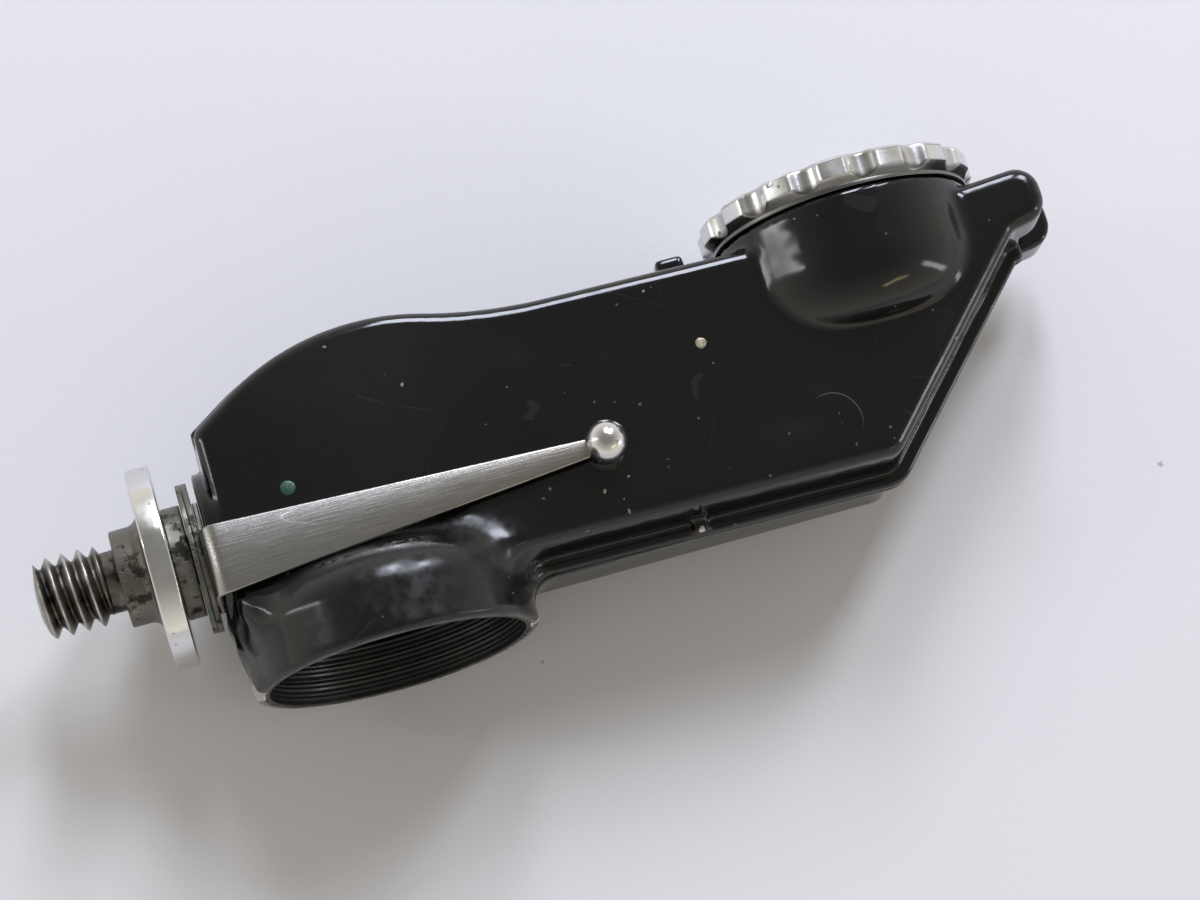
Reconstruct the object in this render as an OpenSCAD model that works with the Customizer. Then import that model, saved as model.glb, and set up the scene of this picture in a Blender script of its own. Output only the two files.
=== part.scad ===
// Pocket rangefinder: a folded hand telescope in a cast clamshell housing,
// with a scalloped focusing ring, a spring pocket clip and a threaded stud.
//
// Working frame: X = 0 is the outside of the housing's left wall, Y = 0 is the
// stud's axis with the eyepiece towards +Y and the objective towards -Y, and
// Z = 0 is the parting plane. placed() moves this to the centre of the floor
// that the instrument lies on.

/* [Housing] */
// Length of the lower wall, up to the slanted end
lower_len = 52.3; // [48:0.1:55]
// Distance from the left wall to the tip of the front casting's lug
lug_reach = 69.3; // [69:0.1:71]
// How much further the rear casting's lug reaches
lug_more = 1.6; // [0:0.1:1.8]
// Height of the left wall's upper corner over the stud's axis
corner_h = 8.4; // [7.8:0.1:9]
// Height of the point that the mirror hump is rounded from
hump_h = 15.5; // [15:0.1:15.8]
// Height of the top wall beside the eyepiece
top_h = 11.1; // [10.8:0.1:11.5]
// Depth of the lower wall's right end under the stud's axis
low_h = 8; // [7.6:0.1:8.4]
// How much the lower wall rises towards the left wall
low_rise = 0.9; // [0:0.1:1]
// How much deeper the rear casting's lower wall is
rear_low = 0.8; // [0:0.1:0.9]
// Angle of the slanted end
slant = 47; // [45:0.5:48]
// Half of the thickness across the flat faces
half_t = 6.5; // [6.2:0.1:7]
// Thickness of the edge walls
wall_t = 1.5; // [1.2:0.1:1.8]
// Thickness of the two flat faces
face_t = 1.3; // [1:0.1:1.5]
// Radius of the rounded edge round each flat face
edge_r = 1; // [0.6:0.1:1.2]
// Draft of the walls, from the parting plane to the edge rounding
draft = 0.15; // [0:0.05:0.3]
// How far the parting bead stands out from the walls
bead_out = 1.1; // [1:0.1:1.3]
// Thickness of the bead on each casting
bead_t = 0.8; // [0.5:0.1:1]
// Radius of the two lugs at the tip
lug_r = 2.1; // [1.7:0.1:2.3]
// Half of the gap between the two lugs
lug_gap = 2.2; // [1.5:0.1:3]

/* [Objective barrel] */
// Distance of the objective's axis from the left wall
barrel_x = 10.9; // [10.8:0.1:11.4]
// Outer radius of the barrel
barrel_r = 11.4; // [11.3:0.1:11.8]
// Depth of the barrel's rim under the stud's axis
rim_depth = 12.1; // [11.6:0.1:12.3]
// Radius of the open bore
bore_r = 10.25; // [10:0.05:10.4]
// Depth of the open bore, from the rim to the lens cell
bore_depth = 4.2; // [3.8:0.1:4.4]
// Length of the barrel's straight part, from the rim to its domed shoulder
barrel_straight = 4; // [3.4:0.1:4.4]
// Length of the domed shoulder that runs out into the flat faces
barrel_dome = 3.8; // [3.4:0.1:4]
// Rounding of the rim's outer edge
rim_round = 0.5; // [0.2:0.1:0.6]

/* [Objective lens] */
// Radius of the two cemented lenses
objective_r = 8.2; // [7.6:0.1:8.4]
// Thickness of the pair at its edge
objective_edge = 1.5; // [1.2:0.1:1.6]
// Bulge of each outer lens surface
objective_sag = 0.5; // [0.3:0.05:0.6]
// Thickness of the cell's flange
cell_flange = 0.9; // [0.7:0.1:1]

/* [Light path] */
// Height of the folded light path over the stud's axis
path_y = 1.5; // [1.3:0.1:1.7]
// Half of the length of each mirror along its slant
mirror_half = 6.9; // [6.5:0.1:7]
// Height of each mirror across the housing
mirror_h = 9.4; // [9:0.1:9.8]
// Thickness of the mirror glass
mirror_t = 1.2; // [1:0.1:1.3]
// Thickness of the sheet that the mirror brackets are bent from
bracket_t = 0.8; // [0.6:0.1:0.9]
// Distance of the reticle from the left wall
reticle_x = 24.5; // [23.5:0.1:26]
// Radius of the reticle disc
reticle_r = 4.2; // [3.8:0.1:4.4]
// Distance of the erecting lens from the left wall
erector_x = 33; // [32:0.1:34]
// Radius of the erecting lens
erector_r = 4; // [3.6:0.1:4.2]

/* [Eyepiece] */
// Distance of the eyepiece's axis from the left wall
eye_x = 54.1; // [54:0.1:54.6]
// Radius of the eyepiece boss on the housing
boss_r = 10.4; // [10.2:0.1:10.6]
// Height of the boss's end face, which the focusing ring sits on
seat_y = 12.5; // [12.4:0.1:12.7]
// Length of the boss's domed shoulder
boss_dome = 5; // [4:0.1:5.4]
// Distance from the boss's end face to the foot of its shoulder
boss_reach = 9.9; // [9.6:0.1:10]
// Outer radius of the focusing ring
ring_r = 11.2; // [11:0.1:11.4]
// Thickness of the focusing ring
ring_t = 2.5; // [2.4:0.05:2.7]
// Number of finger flutes round the ring
flutes = 15; // [12:1:18]
// Radius of each flute
flute_r = 1.5; // [1.2:0.1:1.7]
// Depth of each flute
flute_depth = 0.65; // [0.4:0.05:0.8]
// Outer radius of the sliding eyepiece tube
tube_r = 6.5; // [6.3:0.1:6.6]
// Wall of the sliding eyepiece tube
tube_wall = 0.9; // [0.8:0.1:1]
// Length of the eyepiece tube without its guide tongue
tube_len = 5.3; // [5:0.1:5.4]
// Travel of the eyepiece either way from rest
focus_travel = 1; // [0.5:0.1:1]

/* [Mounting stud] */
// Radius over the stud's thread, a quarter inch across
thread_r = 3.175; // [3:0.025:3.3]
// Length of the threaded part with its rounded end
thread_len = 5.6; // [5:0.1:8]
// Radius of the plain neck behind the thread
neck_r = 2.43; // [2.3:0.05:2.7]
// Length of the neck
neck_len = 1; // [0.6:0.1:2]
// Radius of the shaft inside the hub and the housing wall
shaft_r = 2; // [1.8:0.1:2.1]
// Radius of the hub beside the thread
hub_r = 3.85; // [3.7:0.05:4.2]
// Length of the hub between the neck and the thumb disc
hub_len = 2.4; // [1.8:0.1:3]
// Radius of the thumb disc
disc_r = 8.05; // [7.5:0.05:9]
// Thickness of the thumb disc
disc_t = 1.9; // [1.6:0.1:2.4]
// Radius of the collar between the disc and the washers
collar_r = 4.45; // [4:0.05:5]
// Length of the collar
collar_len = 1.5; // [1.2:0.05:2.2]
// Radius of the raised pad on the left wall
pad_r = 6.4; // [6:0.1:6.5]
// Height of the pad
pad_out = 0.85; // [0.6:0.05:1]
// Radius of the two clip washers
washer_r = 5.95; // [5.5:0.05:6.2]
// Thickness of each clip washer
washer_t = 0.45; // [0.4:0.05:0.6]

/* [Pocket clip] */
// Thickness of the spring strip
clip_t = 0.5; // [0.4:0.05:0.6]
// Width of the strip at the bend
clip_w = 5.5; // [5:0.1:6]
// Width of the strip at the ball
clip_tip_w = 1.5; // [1.2:0.1:2]
// Offset of the strip's centre line from the stud's axis, at the bend
clip_y = -2.2; // [-2.5:0.1:-1.8]
// Offset of the strip's centre line at the ball
clip_tip_y = -1.4; // [-1.7:0.1:-1.1]
// Inner radius of the bend
clip_bend = 0.8; // [0.7:0.05:1]
// Distance of the ball from the left wall
ball_x = 30.4; // [28:0.1:34]
// Radius of the ball
ball_r = 1.65; // [1.4:0.05:1.9]
// Gap between the strip and the housing's face
clip_gap = 0.6; // [0.4:0.05:0.8]

/* [Small parts] */
// Radius of the housing screws
screw_r = 0.75; // [0.7:0.05:0.8]
// Radius of the screw heads
screw_head_r = 1.5; // [1.3:0.1:1.6]
// Length of the index block along the top wall
index_len = 2.3; // [2:0.1:3]
// Height of the index block over the parting bead
index_h = 0.9; // [0.6:0.1:1.4]

/* [Hidden] */
$fn = 64;

// Colours
enamel = [0.04, 0.04, 0.045];
zinc = [0.56, 0.55, 0.5];
steel = [0.62, 0.62, 0.63];
polished = [0.82, 0.82, 0.83];
brass = [0.66, 0.55, 0.3];
black_brass = [0.12, 0.11, 0.1];
glass = [0.7, 0.85, 0.9, 0.5];
silvered = [0.75, 0.8, 0.85];

// Clearances: seats within one body, running fits, and the overlap of a cutting tool
seat_gap = 0.03;
run_gap = 0.06;
cut = 0.05;

// Places of the two housing screws, which also carry the front bracket
screw_front = [6.1, 2];
screw_rear = [39.8, 4.6];
post_r = screw_r + 0.75;

// Outline of the walls: corners as [x, y, radius, steps], anticlockwise
hump_x = 10.9;
hump_arc = 20;
hump_corner = 7;
crease_x = 24.3;
lug_deep = 3.1;
lug_root = lug_reach - 1.9;
function slant_y(x) = (x - lower_len) * tan(slant) - low_h;
lug_low = slant_y(lug_reach - lug_deep) + 0.7;
lug_high = top_h + 1.1;
function lower_y(x, deep) = (deep > 0 ? 0 : low_rise * (1 - x / lower_len)) - low_h - deep;
function outline(deep, left) = [
    [left, lower_y(left, deep), 1.4, 4],
    [lower_len - deep / tan(slant), -low_h - deep, 1.6, 4],
    [lug_reach - lug_deep, slant_y(lug_reach - lug_deep), 1.2, 4],
    [lug_reach + 0.1, lug_low, lug_r, 7],
    [lug_reach, lug_high, lug_r, 7],
    [eye_x, top_h, 60, 2],
    [crease_x, top_h + 0.7, 38, 4],
    [hump_x, hump_h, hump_arc, 10],
    [left, corner_h + (hump_h - corner_h) * left / hump_x, 1.4, 4],
];

// Stack of pieces on the stud, from the left wall outwards
tab_x = -pad_out - clip_t;
washer_x = tab_x - 2 * washer_t;
collar_x = washer_x - run_gap - collar_len;
disc_x = collar_x - disc_t;
hub_x = disc_x - hub_len;
neck_x = hub_x - neck_len;
tip_x = neck_x - thread_len;

// Heights along the objective's axis, all under the stud's axis
rim_y = -rim_depth;
rim_chamfer = 0.4;
cell_seat_r = bore_r - 0.2;
cell_y = rim_y + bore_depth;
shoulder_y = cell_y + cell_flange;
cell_nose = objective_edge + 1.1 - cell_flange;
nose_y = shoulder_y + cell_nose;
dome_root_r = half_t - 0.5;
joint_sag = 0.35;
objective_y = cell_y + 0.5;
joint_y = objective_y + objective_edge * 0.55;

// Mirrors: half of the slant's reach along X and along Y
mirror_reach = mirror_half * cos(45);
slot_h = half_t - face_t;

// Eyepiece stack
ring_y = seat_y + run_gap;
ring_top = ring_y + ring_t;
tube_top = ring_top - 0.3;
tube_y = tube_top - tube_len;
neck_bottom = seat_y - 2.4;
retainer_t = 0.6;
chamber_top = seat_y - 1.65;
neck_outer = 8;
boss_bore = neck_outer + run_gap;
chamber_r = 8.7;
lens_r = tube_r - tube_wall - seat_gap;
tube_room = tube_y - focus_travel - 0.3;
guide_y = tube_y - 1.75;
guide_r = 0.55;
tongue_w = 3.4;
pocket_top = tube_r + 0.7;
lens_t = 1.7;
field_y = tube_y + 0.2;
spacer_y = field_y + lens_t + seat_gap;
spacer_len = 1.1;
eye_y = spacer_y + spacer_len + seat_gap;

// Thickness of the plates that carry the reticle and the erecting lens, and place of the crease web
reticle_plate = 2.2;
erector_plate = 3.2;
web_x = 38.1;

// Bend of the clip, whose centre line is the flexing axis, and the slit that lets it flex
bend_z = half_t + clip_gap - clip_bend;
flex_gap = 0.2;

// Index block, seated in both castings
index_half = 1.3;
index_x = eye_x - 15.3;
index_seat = top_h - 0.5;

// The floor that the instrument lies on touches the larger of barrel and ring
rest_r = max(barrel_r, ring_r);
highest_y = max(ring_top, hump_top() + bead_out, index_top());
mid_x = (tip_x + lug_reach + lug_more) / 2;
mid_y = (rim_y + highest_y) / 2;

function unit(v) = v / norm(v);
function left_of(v) = [-v[1], v[0]];
function cross2(u, v) = u[0] * v[1] - u[1] * v[0];

// Direction of the edge that arrives at corner i, and of the edge that leaves it
function edge_in(c, i) = let (a = c[(i + len(c) - 1) % len(c)], b = c[i]) unit([b[0] - a[0], b[1] - a[1]]);
function edge_out(c, i) = edge_in(c, (i + 1) % len(c));

// One rounded corner, moved inwards by d: hollow corners gain radius where others lose it
function corner_arc(c, i, d) =
    let (
        u = edge_in(c, i),
        v = edge_out(c, i),
        turn = cross2(u, v) > 0 ? 1 : -1,
        q = [c[i][0], c[i][1]] + d * (left_of(u) + left_of(v)) / (1 + u * v),
        r = max(c[i][2] - turn * d, 0.3),
        swing = acos(u * v),
        start = q - u * r * tan(swing / 2),
        centre = start + turn * r * left_of(u),
        steps = c[i][3]
    )
    [for (k = [0:steps])
        let (a = turn * swing * k / steps, w = start - centre)
        centre + [w[0] * cos(a) - w[1] * sin(a), w[0] * sin(a) + w[1] * cos(a)]];

function inset(c, d) = [for (i = [0:len(c) - 1]) each corner_arc(c, i, d)];

// Top of the hump's arc and of the index block, for the height of the whole
function hump_top() = max([for (p = inset_hump()) p[1]]);
function inset_hump() = corner_arc(outline(0, 0), hump_corner, 0);
function index_top() = top_h + 0.35 + bead_out + index_h;

module placed() {
    translate([-mid_x, -mid_y, rest_r]) children();
}

module along_y(y) {
    translate([0, y, 0]) rotate([-90, 0, 0]) children();
}

module along_x(x) {
    translate([x, 0, 0]) rotate([0, 90, 0]) children();
}

// Ring about the local Z axis
module tube(r_out, r_in, h) {
    difference() {
        cylinder(r = r_out, h = h);
        translate([0, 0, -cut]) cylinder(r = r_in, h = h + 2 * cut);
    }
}

// Side of a loft between four points: one flat face, or two triangles where it is warped
function side_faces(points, q) =
    let (a = points[q[0]], b = points[q[1]], c = points[q[2]], d = points[q[3]])
    abs(cross(b - a, c - a) * (d - a)) < 0.000001 ? [q] : [[q[0], q[1], q[2]], [q[0], q[2], q[3]]];

// Solid through a stack of rounded outlines; rings holds [corners, inset, z]
module loft(rings) {
    layers = [for (ring = rings) [for (p = inset(ring[0], ring[1])) [p[0], p[1], ring[2]]]];
    count = len(layers[0]);
    last = len(rings) - 1;
    points = [for (layer = layers) each layer];
    floor_face = [[for (i = [0:count - 1]) i]];
    roof_face = [[for (i = [0:count - 1]) last * count + count - 1 - i]];
    sides = [for (k = [0:last - 1], i = [0:count - 1])
        let (j = (i + 1) % count, a = k * count, b = a + count)
        each side_faces(points, [a + i, b + i, b + j, a + j])];
    polyhedron(points = points, faces = concat(floor_face, roof_face, sides));
}

module upper_half() {
    intersection() {
        children();
        translate([-50, -50, 0]) cube([200, 100, 50]);
    }
}

// Bead, walls and rounded edge of one casting, from the parting plane to the flat face; the bead
// stops at the left wall, so its outline starts one bead's width further in there
module casting_loft(deep) {
    edge_z = half_t - edge_r;
    beaded = outline(0, bead_out);
    walls = outline(deep, 0);
    intersection() {
        loft(concat(
            [[beaded, -bead_out, -1], [beaded, -bead_out, bead_t * 0.7], [beaded, -bead_out * 0.85, bead_t]],
            [[walls, draft * bead_t / edge_z, bead_t + cut]],
            [for (a = [0:22.5:90]) [walls, draft + edge_r * (1 - cos(a)), edge_z + edge_r * sin(a)]],
            [[walls, draft + edge_r, half_t + 1]]));
        translate([-20, -50, 0]) cube([120, 100, half_t]);
    }
}

// Longer end of a lug, let into the casting a little under its faces
module lug_tip(more) {
    low = 0.06;
    edge_z = half_t - edge_r - low;
    root_x = lug_reach - 2.5;
    corners = [
        [root_x, lug_low - 0.2, 0.5, 2],
        [lug_reach + more + 0.1, lug_low, lug_r, 7],
        [lug_reach + more, lug_high, lug_r, 7],
        [root_x, lug_high - 0.3, 0.5, 2],
    ];
    loft(concat(
        [[corners, low, 1]],
        [for (a = [0:22.5:90]) [corners, low + draft + edge_r * (1 - cos(a)), edge_z + edge_r * sin(a)]]));
}

// A shoulder that swells in an elliptic curve from the flat faces to radius r
module domed_barrel(r, y_root, dome, y_end, round_end) {
    way = sign(y_end - y_root);
    steps = 9;
    curve = [for (k = [0:steps])
        let (a = 90 * k / steps)
        [dome_root_r + (r - dome_root_r) * sin(a), y_root + way * dome * (1 - cos(a))]];
    finish = [for (a = [0:30:90])
        [r - round_end * (1 - cos(a)), y_end - way * round_end * (1 - sin(a))]];
    rotate([-90, 0, 0]) rotate_extrude()
        polygon(concat([[0, y_root]], curve, finish, [[0, y_end]]));
}

module barrel_outside() {
    translate([barrel_x, 0, 0])
        domed_barrel(barrel_r, rim_y + barrel_straight + barrel_dome, barrel_dome, rim_y, rim_round);
}

module boss_outside() {
    translate([eye_x, 0, 0])
        domed_barrel(boss_r, seat_y - boss_reach, boss_dome, seat_y, 0.3);
}

// Open bore, the cell's seat and the clear way behind it
module barrel_inside() {
    translate([barrel_x, 0, 0]) {
        along_y(rim_y - cut) cylinder(r = bore_r, h = bore_depth + cut);
        along_y(cell_y - cut) cylinder(r = cell_seat_r, h = cell_flange + cut);
        along_y(shoulder_y - cut) cylinder(r = objective_r + 0.55, h = cell_nose + 0.2 + cut);
        along_y(rim_y - cut) cylinder(r1 = bore_r + rim_chamfer, r2 = bore_r, h = rim_chamfer);
    }
}

// Bearing of the focusing ring, the retainer's chamber and the ring's own clearance
module boss_inside() {
    translate([eye_x, 0, 0]) {
        along_y(chamber_top - cut) cylinder(r = boss_bore, h = seat_y - chamber_top + 2 * cut);
        along_y(tube_room) cylinder(r = chamber_r, h = chamber_top - tube_room);
        along_y(seat_y) cylinder(r = ring_r + 0.35, h = 10);
    }
}

// Hollow of the casting behind the edge walls, which ends before the lugs; gap narrows it all round
module cavity(gap) {
    intersection() {
        translate([0, 0, -slot_h]) linear_extrude(2 * slot_h) polygon(inset(outline(0, 0), wall_t + gap));
        translate([0, -50, -10]) cube([lug_root - wall_t - gap, 100, 20]);
    }
}

// Ribs that hold a cell plate of thickness t between them
module cell_ribs(x, t) {
    rib = 0.8;
    for (side = [x - t / 2 - seat_gap - rib, x + t / 2 + seat_gap])
        for (y = [cell_low(x) - 0.2, cell_top(x) - 1.4])
            translate([side, y, 1.2]) cube([rib, 1.6, slot_h - 1.2 + cut]);
}

// Inner heights of the top wall and of the lower wall over x, on the straight runs beside the hump
function cell_top(x) = top_h + 0.7 * (eye_x - max(x, crease_x)) / (eye_x - crease_x) - wall_t;
function cell_low(x) = low_rise * (1 - x / lower_len) - low_h + wall_t;

module screw_posts() {
    for (p = [screw_front, screw_rear])
        translate([p[0], p[1], 0]) cylinder(r = post_r, h = slot_h + cut);
}

// Half of the raised pad that the washers press on
module upper_pad() {
    intersection() {
        cylinder(r = pad_r, h = pad_out + 1);
        translate([-20, -20, -1]) cube([20, 40, 10]);
    }
}

// Web across the crease under the lower wall
module crease_web() {
    low = cell_low(web_x) - wall_t;
    translate([web_x - 0.7, low - bead_out * 0.8, bead_t - cut]) cube([1.4, bead_out * 0.8 + 0.3, 0.9]);
}

module half_casting(more, deep) {
    difference() {
        union() {
            casting_loft(deep);
            if (more > 0) lug_tip(more);
            along_x(-pad_out) upper_pad();
            upper_half() barrel_outside();
            upper_half() boss_outside();
        }
        cavity(0);
        barrel_inside();
        boss_inside();
        // The two lugs stand apart at the parting plane
        translate([lug_root, -1, -cut]) cube([10, 20, lug_gap + cut]);
        // Hole for the stud's shaft
        along_x(-pad_out - cut) cylinder(r = shaft_r + run_gap, h = pad_out + wall_t + 1);
        // Seat of the index block
        translate([index_x - seat_gap, index_seat, -cut])
            cube([index_len + 2 * seat_gap, 5, index_half + seat_gap + cut]);
    }
    screw_posts();
    cell_ribs(reticle_x, reticle_plate);
    cell_ribs(erector_x, erector_plate);
}

// Front casting: the screws come through to its face, and the guide pin stands in it
module front_shell() {
    color(enamel) placed() difference() {
        union() {
            half_casting(0, 0);
            crease_web();
        }
        for (p = [screw_front, screw_rear])
            translate([p[0], p[1], -cut]) cylinder(r = screw_r + seat_gap, h = half_t + 1);
        translate([eye_x - tongue_w / 2 - 0.3, guide_y - 3.4, 0])
            cube([tongue_w + 0.6, neck_bottom - guide_y + 3.4, pocket_top]);
        translate([eye_x, guide_y, pocket_top - cut]) cylinder(r = guide_r + seat_gap, h = 0.8 + cut);
    }
}

// Rear casting: its face takes the screw heads
module rear_shell() {
    color(enamel) placed() mirror([0, 0, 1]) difference() {
        half_casting(lug_more, rear_low);
        for (p = [screw_front, screw_rear])
            translate([p[0], p[1], 0]) {
                translate([0, 0, -cut]) cylinder(r = screw_r + seat_gap, h = half_t + 1);
                translate([0, 0, half_t - 1]) cylinder(r = screw_head_r + seat_gap, h = 2);
            }
    }
}

// Slotted screw from the rear face through both castings
module housing_screw(p, tip_r) {
    head_z = -half_t;
    tip_len = 1.1;
    translate([p[0], p[1], 0]) difference() {
        union() {
            translate([0, 0, head_z + 0.05]) cylinder(r = screw_head_r, h = 0.95);
            translate([0, 0, head_z + 0.5]) cylinder(r = screw_r, h = 2 * half_t - 0.5 - tip_len);
            translate([0, 0, half_t - tip_len - cut]) cylinder(r = tip_r, h = tip_len + cut - 0.06);
        }
        translate([-screw_head_r - 1, -0.2, head_z - 0.5]) cube([2 * screw_head_r + 2, 0.4, 0.95]);
    }
}

module front_housing_screw() {
    color(brass) placed() housing_screw(screw_front, screw_r);
}

module rear_housing_screw() {
    color(brass) placed() housing_screw(screw_rear, screw_r - 0.25);
}

module guide_pin() {
    color(steel) placed()
        translate([eye_x, guide_y, tube_r - tube_wall + 0.1])
            cylinder(r = guide_r, h = pocket_top + 0.7 - tube_r + tube_wall - seat_gap);
}

// Flanged cell that screws into the barrel behind the open bore
module objective_cell() {
    seat_r = objective_r + seat_gap;
    color(black_brass) placed() translate([barrel_x, 0, 0]) difference() {
        union() {
            along_y(cell_y) cylinder(r = cell_seat_r - seat_gap, h = cell_flange - seat_gap);
            along_y(cell_y) cylinder(r = objective_r + 0.5, h = cell_flange + cell_nose);
        }
        along_y(cell_y - cut) cylinder(r = seat_r, h = cell_flange + cell_nose - 0.5 + cut);
        along_y(cell_y) cylinder(r = objective_r - 0.8, h = 10);
    }
}

// Points of a lens surface from the axis to its edge: a circle's arc that bulges by sag at the axis
function lens_arc(r, y, sag) =
    let (big = (r * r + sag * sag) / (2 * sag), swing = asin(r / big), steps = 6)
    [for (k = [0:steps]) [r * k / steps, y + sqrt(big * big - pow(r * k / steps, 2)) - big * cos(swing)]];

function reversed(list) = [for (i = [len(list) - 1:-1:0]) list[i]];

// Lens about the Y axis between two surfaces; a bulge below zero is a hollow towards -Y
module lens(r, y_low, sag_low, y_high, sag_high) {
    low = sag_low == 0 ? [[0, y_low], [r, y_low]]
        : [for (p = lens_arc(r, 0, abs(sag_low))) [p[0], y_low - sign(sag_low) * p[1]]];
    rotate([-90, 0, 0]) rotate_extrude() polygon(concat(low, reversed(lens_arc(r, y_high, sag_high))));
}

// Front element of the cemented pair
module objective_crown_lens() {
    color(glass) placed() translate([barrel_x, 0, 0])
        lens(objective_r, objective_y, objective_sag, joint_y, joint_sag);
}

module objective_flint_lens() {
    back = objective_y + objective_edge - seat_gap;
    color(glass) placed() translate([barrel_x, 0, 0])
        lens(objective_r, joint_y + seat_gap, -joint_sag, back, objective_sag);
}

module objective_retaining_ring() {
    color(black_brass) placed() translate([barrel_x, 0, 0])
        along_y(cell_y + 0.05) tube(objective_r - seat_gap, objective_r - 0.8, 0.34);
}

// Mirror frame: local X along the slant, local Y behind the glass, local Z across the housing
module at_mirror(x) {
    translate([x, path_y, 0]) rotate([0, 0, 45]) children();
}

module mirror_glass() {
    translate([-mirror_half, 0, -mirror_h / 2]) cube([2 * mirror_half, mirror_t, mirror_h]);
}

// Folded sheet behind the glass, with a foot on the rear casting
module bracket_sheet(foot) {
    back = mirror_t + seat_gap;
    low = -slot_h + seat_gap;
    translate([-mirror_half, back, low]) cube([2 * mirror_half, bracket_t, slot_h + mirror_h / 2 - seat_gap]);
    if (foot > bracket_t) translate([-mirror_half, back, low]) cube([2 * mirror_half, foot, bracket_t]);
}

module front_mirror() {
    color(silvered) placed() at_mirror(barrel_x) mirror_glass();
}

// The front bracket's foot reaches round the post of the front screw
module front_mirror_bracket() {
    foot_z = -slot_h + seat_gap;
    color(zinc) placed() difference() {
        intersection() {
            union() {
                at_mirror(barrel_x) bracket_sheet(0);
                translate([screw_front[0], screw_front[1], foot_z]) cylinder(r = post_r + 1, h = bracket_t);
                at_mirror(barrel_x) translate([-3.2, mirror_t + seat_gap + bracket_t / 2, foot_z + cut])
                    cube([4.4, 2.6, bracket_t - 2 * cut]);
            }
            cavity(0.1);
        }
        translate([screw_front[0], screw_front[1], foot_z - cut])
            cylinder(r = post_r + seat_gap, h = bracket_t + 2 * cut);
    }
}

module rear_mirror() {
    color(silvered) placed() at_mirror(eye_x) mirror([0, 1, 0]) mirror_glass();
}

module rear_mirror_bracket() {
    color(zinc) placed() intersection() {
        at_mirror(eye_x) mirror([0, 1, 0]) bracket_sheet(2);
        cavity(0.1);
    }
}

// Plate that stands across the housing between cast ribs, with a stepped bore on the light path
module cell_plate(x, t, seat_r, seat_depth) {
    low = cell_low(x - t) + 0.1;
    high = cell_top(x + t) - 0.15;
    difference() {
        translate([x - t / 2, low, -slot_h + seat_gap]) cube([t, high - low, 2 * (slot_h - seat_gap)]);
        translate([0, path_y, 0]) {
            along_x(x - t) cylinder(r = seat_r - 0.5, h = 2 * t);
            along_x(x + t / 2 - seat_depth) cylinder(r = seat_r + seat_gap, h = seat_depth + 1);
        }
    }
}

module reticle_cell() {
    color(black_brass) placed() cell_plate(reticle_x, reticle_plate, reticle_r, 1.3);
}

// Glass disc with its two stadia lines cut in the face
module reticle_disc() {
    face_x = reticle_x + reticle_plate / 2 - 0.25;
    color(glass) placed() translate([0, path_y, 0]) difference() {
        along_x(face_x - 1) cylinder(r = reticle_r, h = 1);
        for (z = [-1, 1])
            translate([face_x - 0.08, -reticle_r * 0.8, z - 0.04]) cube([0.2, reticle_r * 1.6, 0.08]);
    }
}

module erector_cell() {
    color(black_brass) placed() cell_plate(erector_x, erector_plate, erector_r, 2.6);
}

module erector_lens() {
    back_x = erector_x + erector_plate / 2 - 2.6 + seat_gap;
    color(glass) placed() translate([back_x, path_y, 0]) rotate([0, 0, -90])
        lens(erector_r, 0, 0, 1.5, 0.7);
}

// Scalloped ring with its neck, which turns in the boss
module focus_ring() {
    bore = tube_r + run_gap + 0.02;
    land_y = ring_y + 0.9;
    flange_r = ring_r - flute_depth - 0.05;
    color(polished) placed() translate([eye_x, 0, 0]) difference() {
        rotate([-90, 0, 0]) rotate_extrude() polygon([
            [bore, neck_bottom],
            [neck_outer - 0.4, neck_bottom],
            [neck_outer - 0.4, neck_bottom + retainer_t + 0.05],
            [neck_outer, neck_bottom + retainer_t + 0.05],
            [neck_outer, ring_y],
            [flange_r, ring_y],
            [flange_r, ring_y + 0.35],
            [ring_r, land_y],
            [ring_r, ring_top - 0.3],
            [ring_r - 0.3, ring_top],
            [bore + 0.5, ring_top],
            [bore, ring_top - 0.5],
        ]);
        for (i = [0:flutes - 1])
            rotate([0, (i + 0.5) * 360 / flutes, 0])
                translate([ring_r - flute_depth + flute_r, 0, 0])
                    along_y(ring_y + 0.35) cylinder(r = flute_r, h = ring_t);
        // Setting notch in the top edge of one land
        rotate([0, -360 / flutes * 5, 0])
            translate([ring_r - 0.7, ring_top - 0.5, -0.7]) cube([2, 1, 1.4]);
    }
}

// Ring on the neck's thread, inside the boss
module ring_retainer() {
    color(black_brass) placed() translate([eye_x, 0, 0])
        along_y(neck_bottom) tube(chamber_r - 0.2, neck_outer - 0.4 + seat_gap, retainer_t);
}

// Sliding tube; its tongue is held by the guide pin, so that it can't turn
module eyepiece_tube() {
    inner = tube_r - tube_wall;
    tongue_y = guide_y - focus_travel - guide_r - 0.6;
    slot_w = 2 * (guide_r + run_gap);
    slot_y = guide_y - focus_travel - guide_r - 0.1;
    slot_len = 2 * (focus_travel + guide_r + 0.1);
    color(black_brass) placed() translate([eye_x, 0, 0]) difference() {
        union() {
            along_y(tube_y) tube(tube_r, inner, tube_len);
            intersection() {
                along_y(tongue_y) tube(tube_r, inner, tube_y - tongue_y + 0.5);
                translate([-tongue_w / 2, tongue_y - 1, 0]) cube([tongue_w, 20, 20]);
            }
        }
        translate([-slot_w / 2, slot_y, 0]) cube([slot_w, slot_len, 20]);
    }
}

// Plano-convex lenses on the eyepiece's axis
module field_lens() {
    color(glass) placed() translate([eye_x, 0, 0]) lens(lens_r, field_y, 0, field_y + lens_t - 0.5, 0.5);
}

module lens_spacer() {
    color(black_brass) placed() translate([eye_x, 0, 0])
        along_y(spacer_y - 0.4) tube(lens_r, lens_r - 0.5, spacer_len + 0.4);
}

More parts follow.
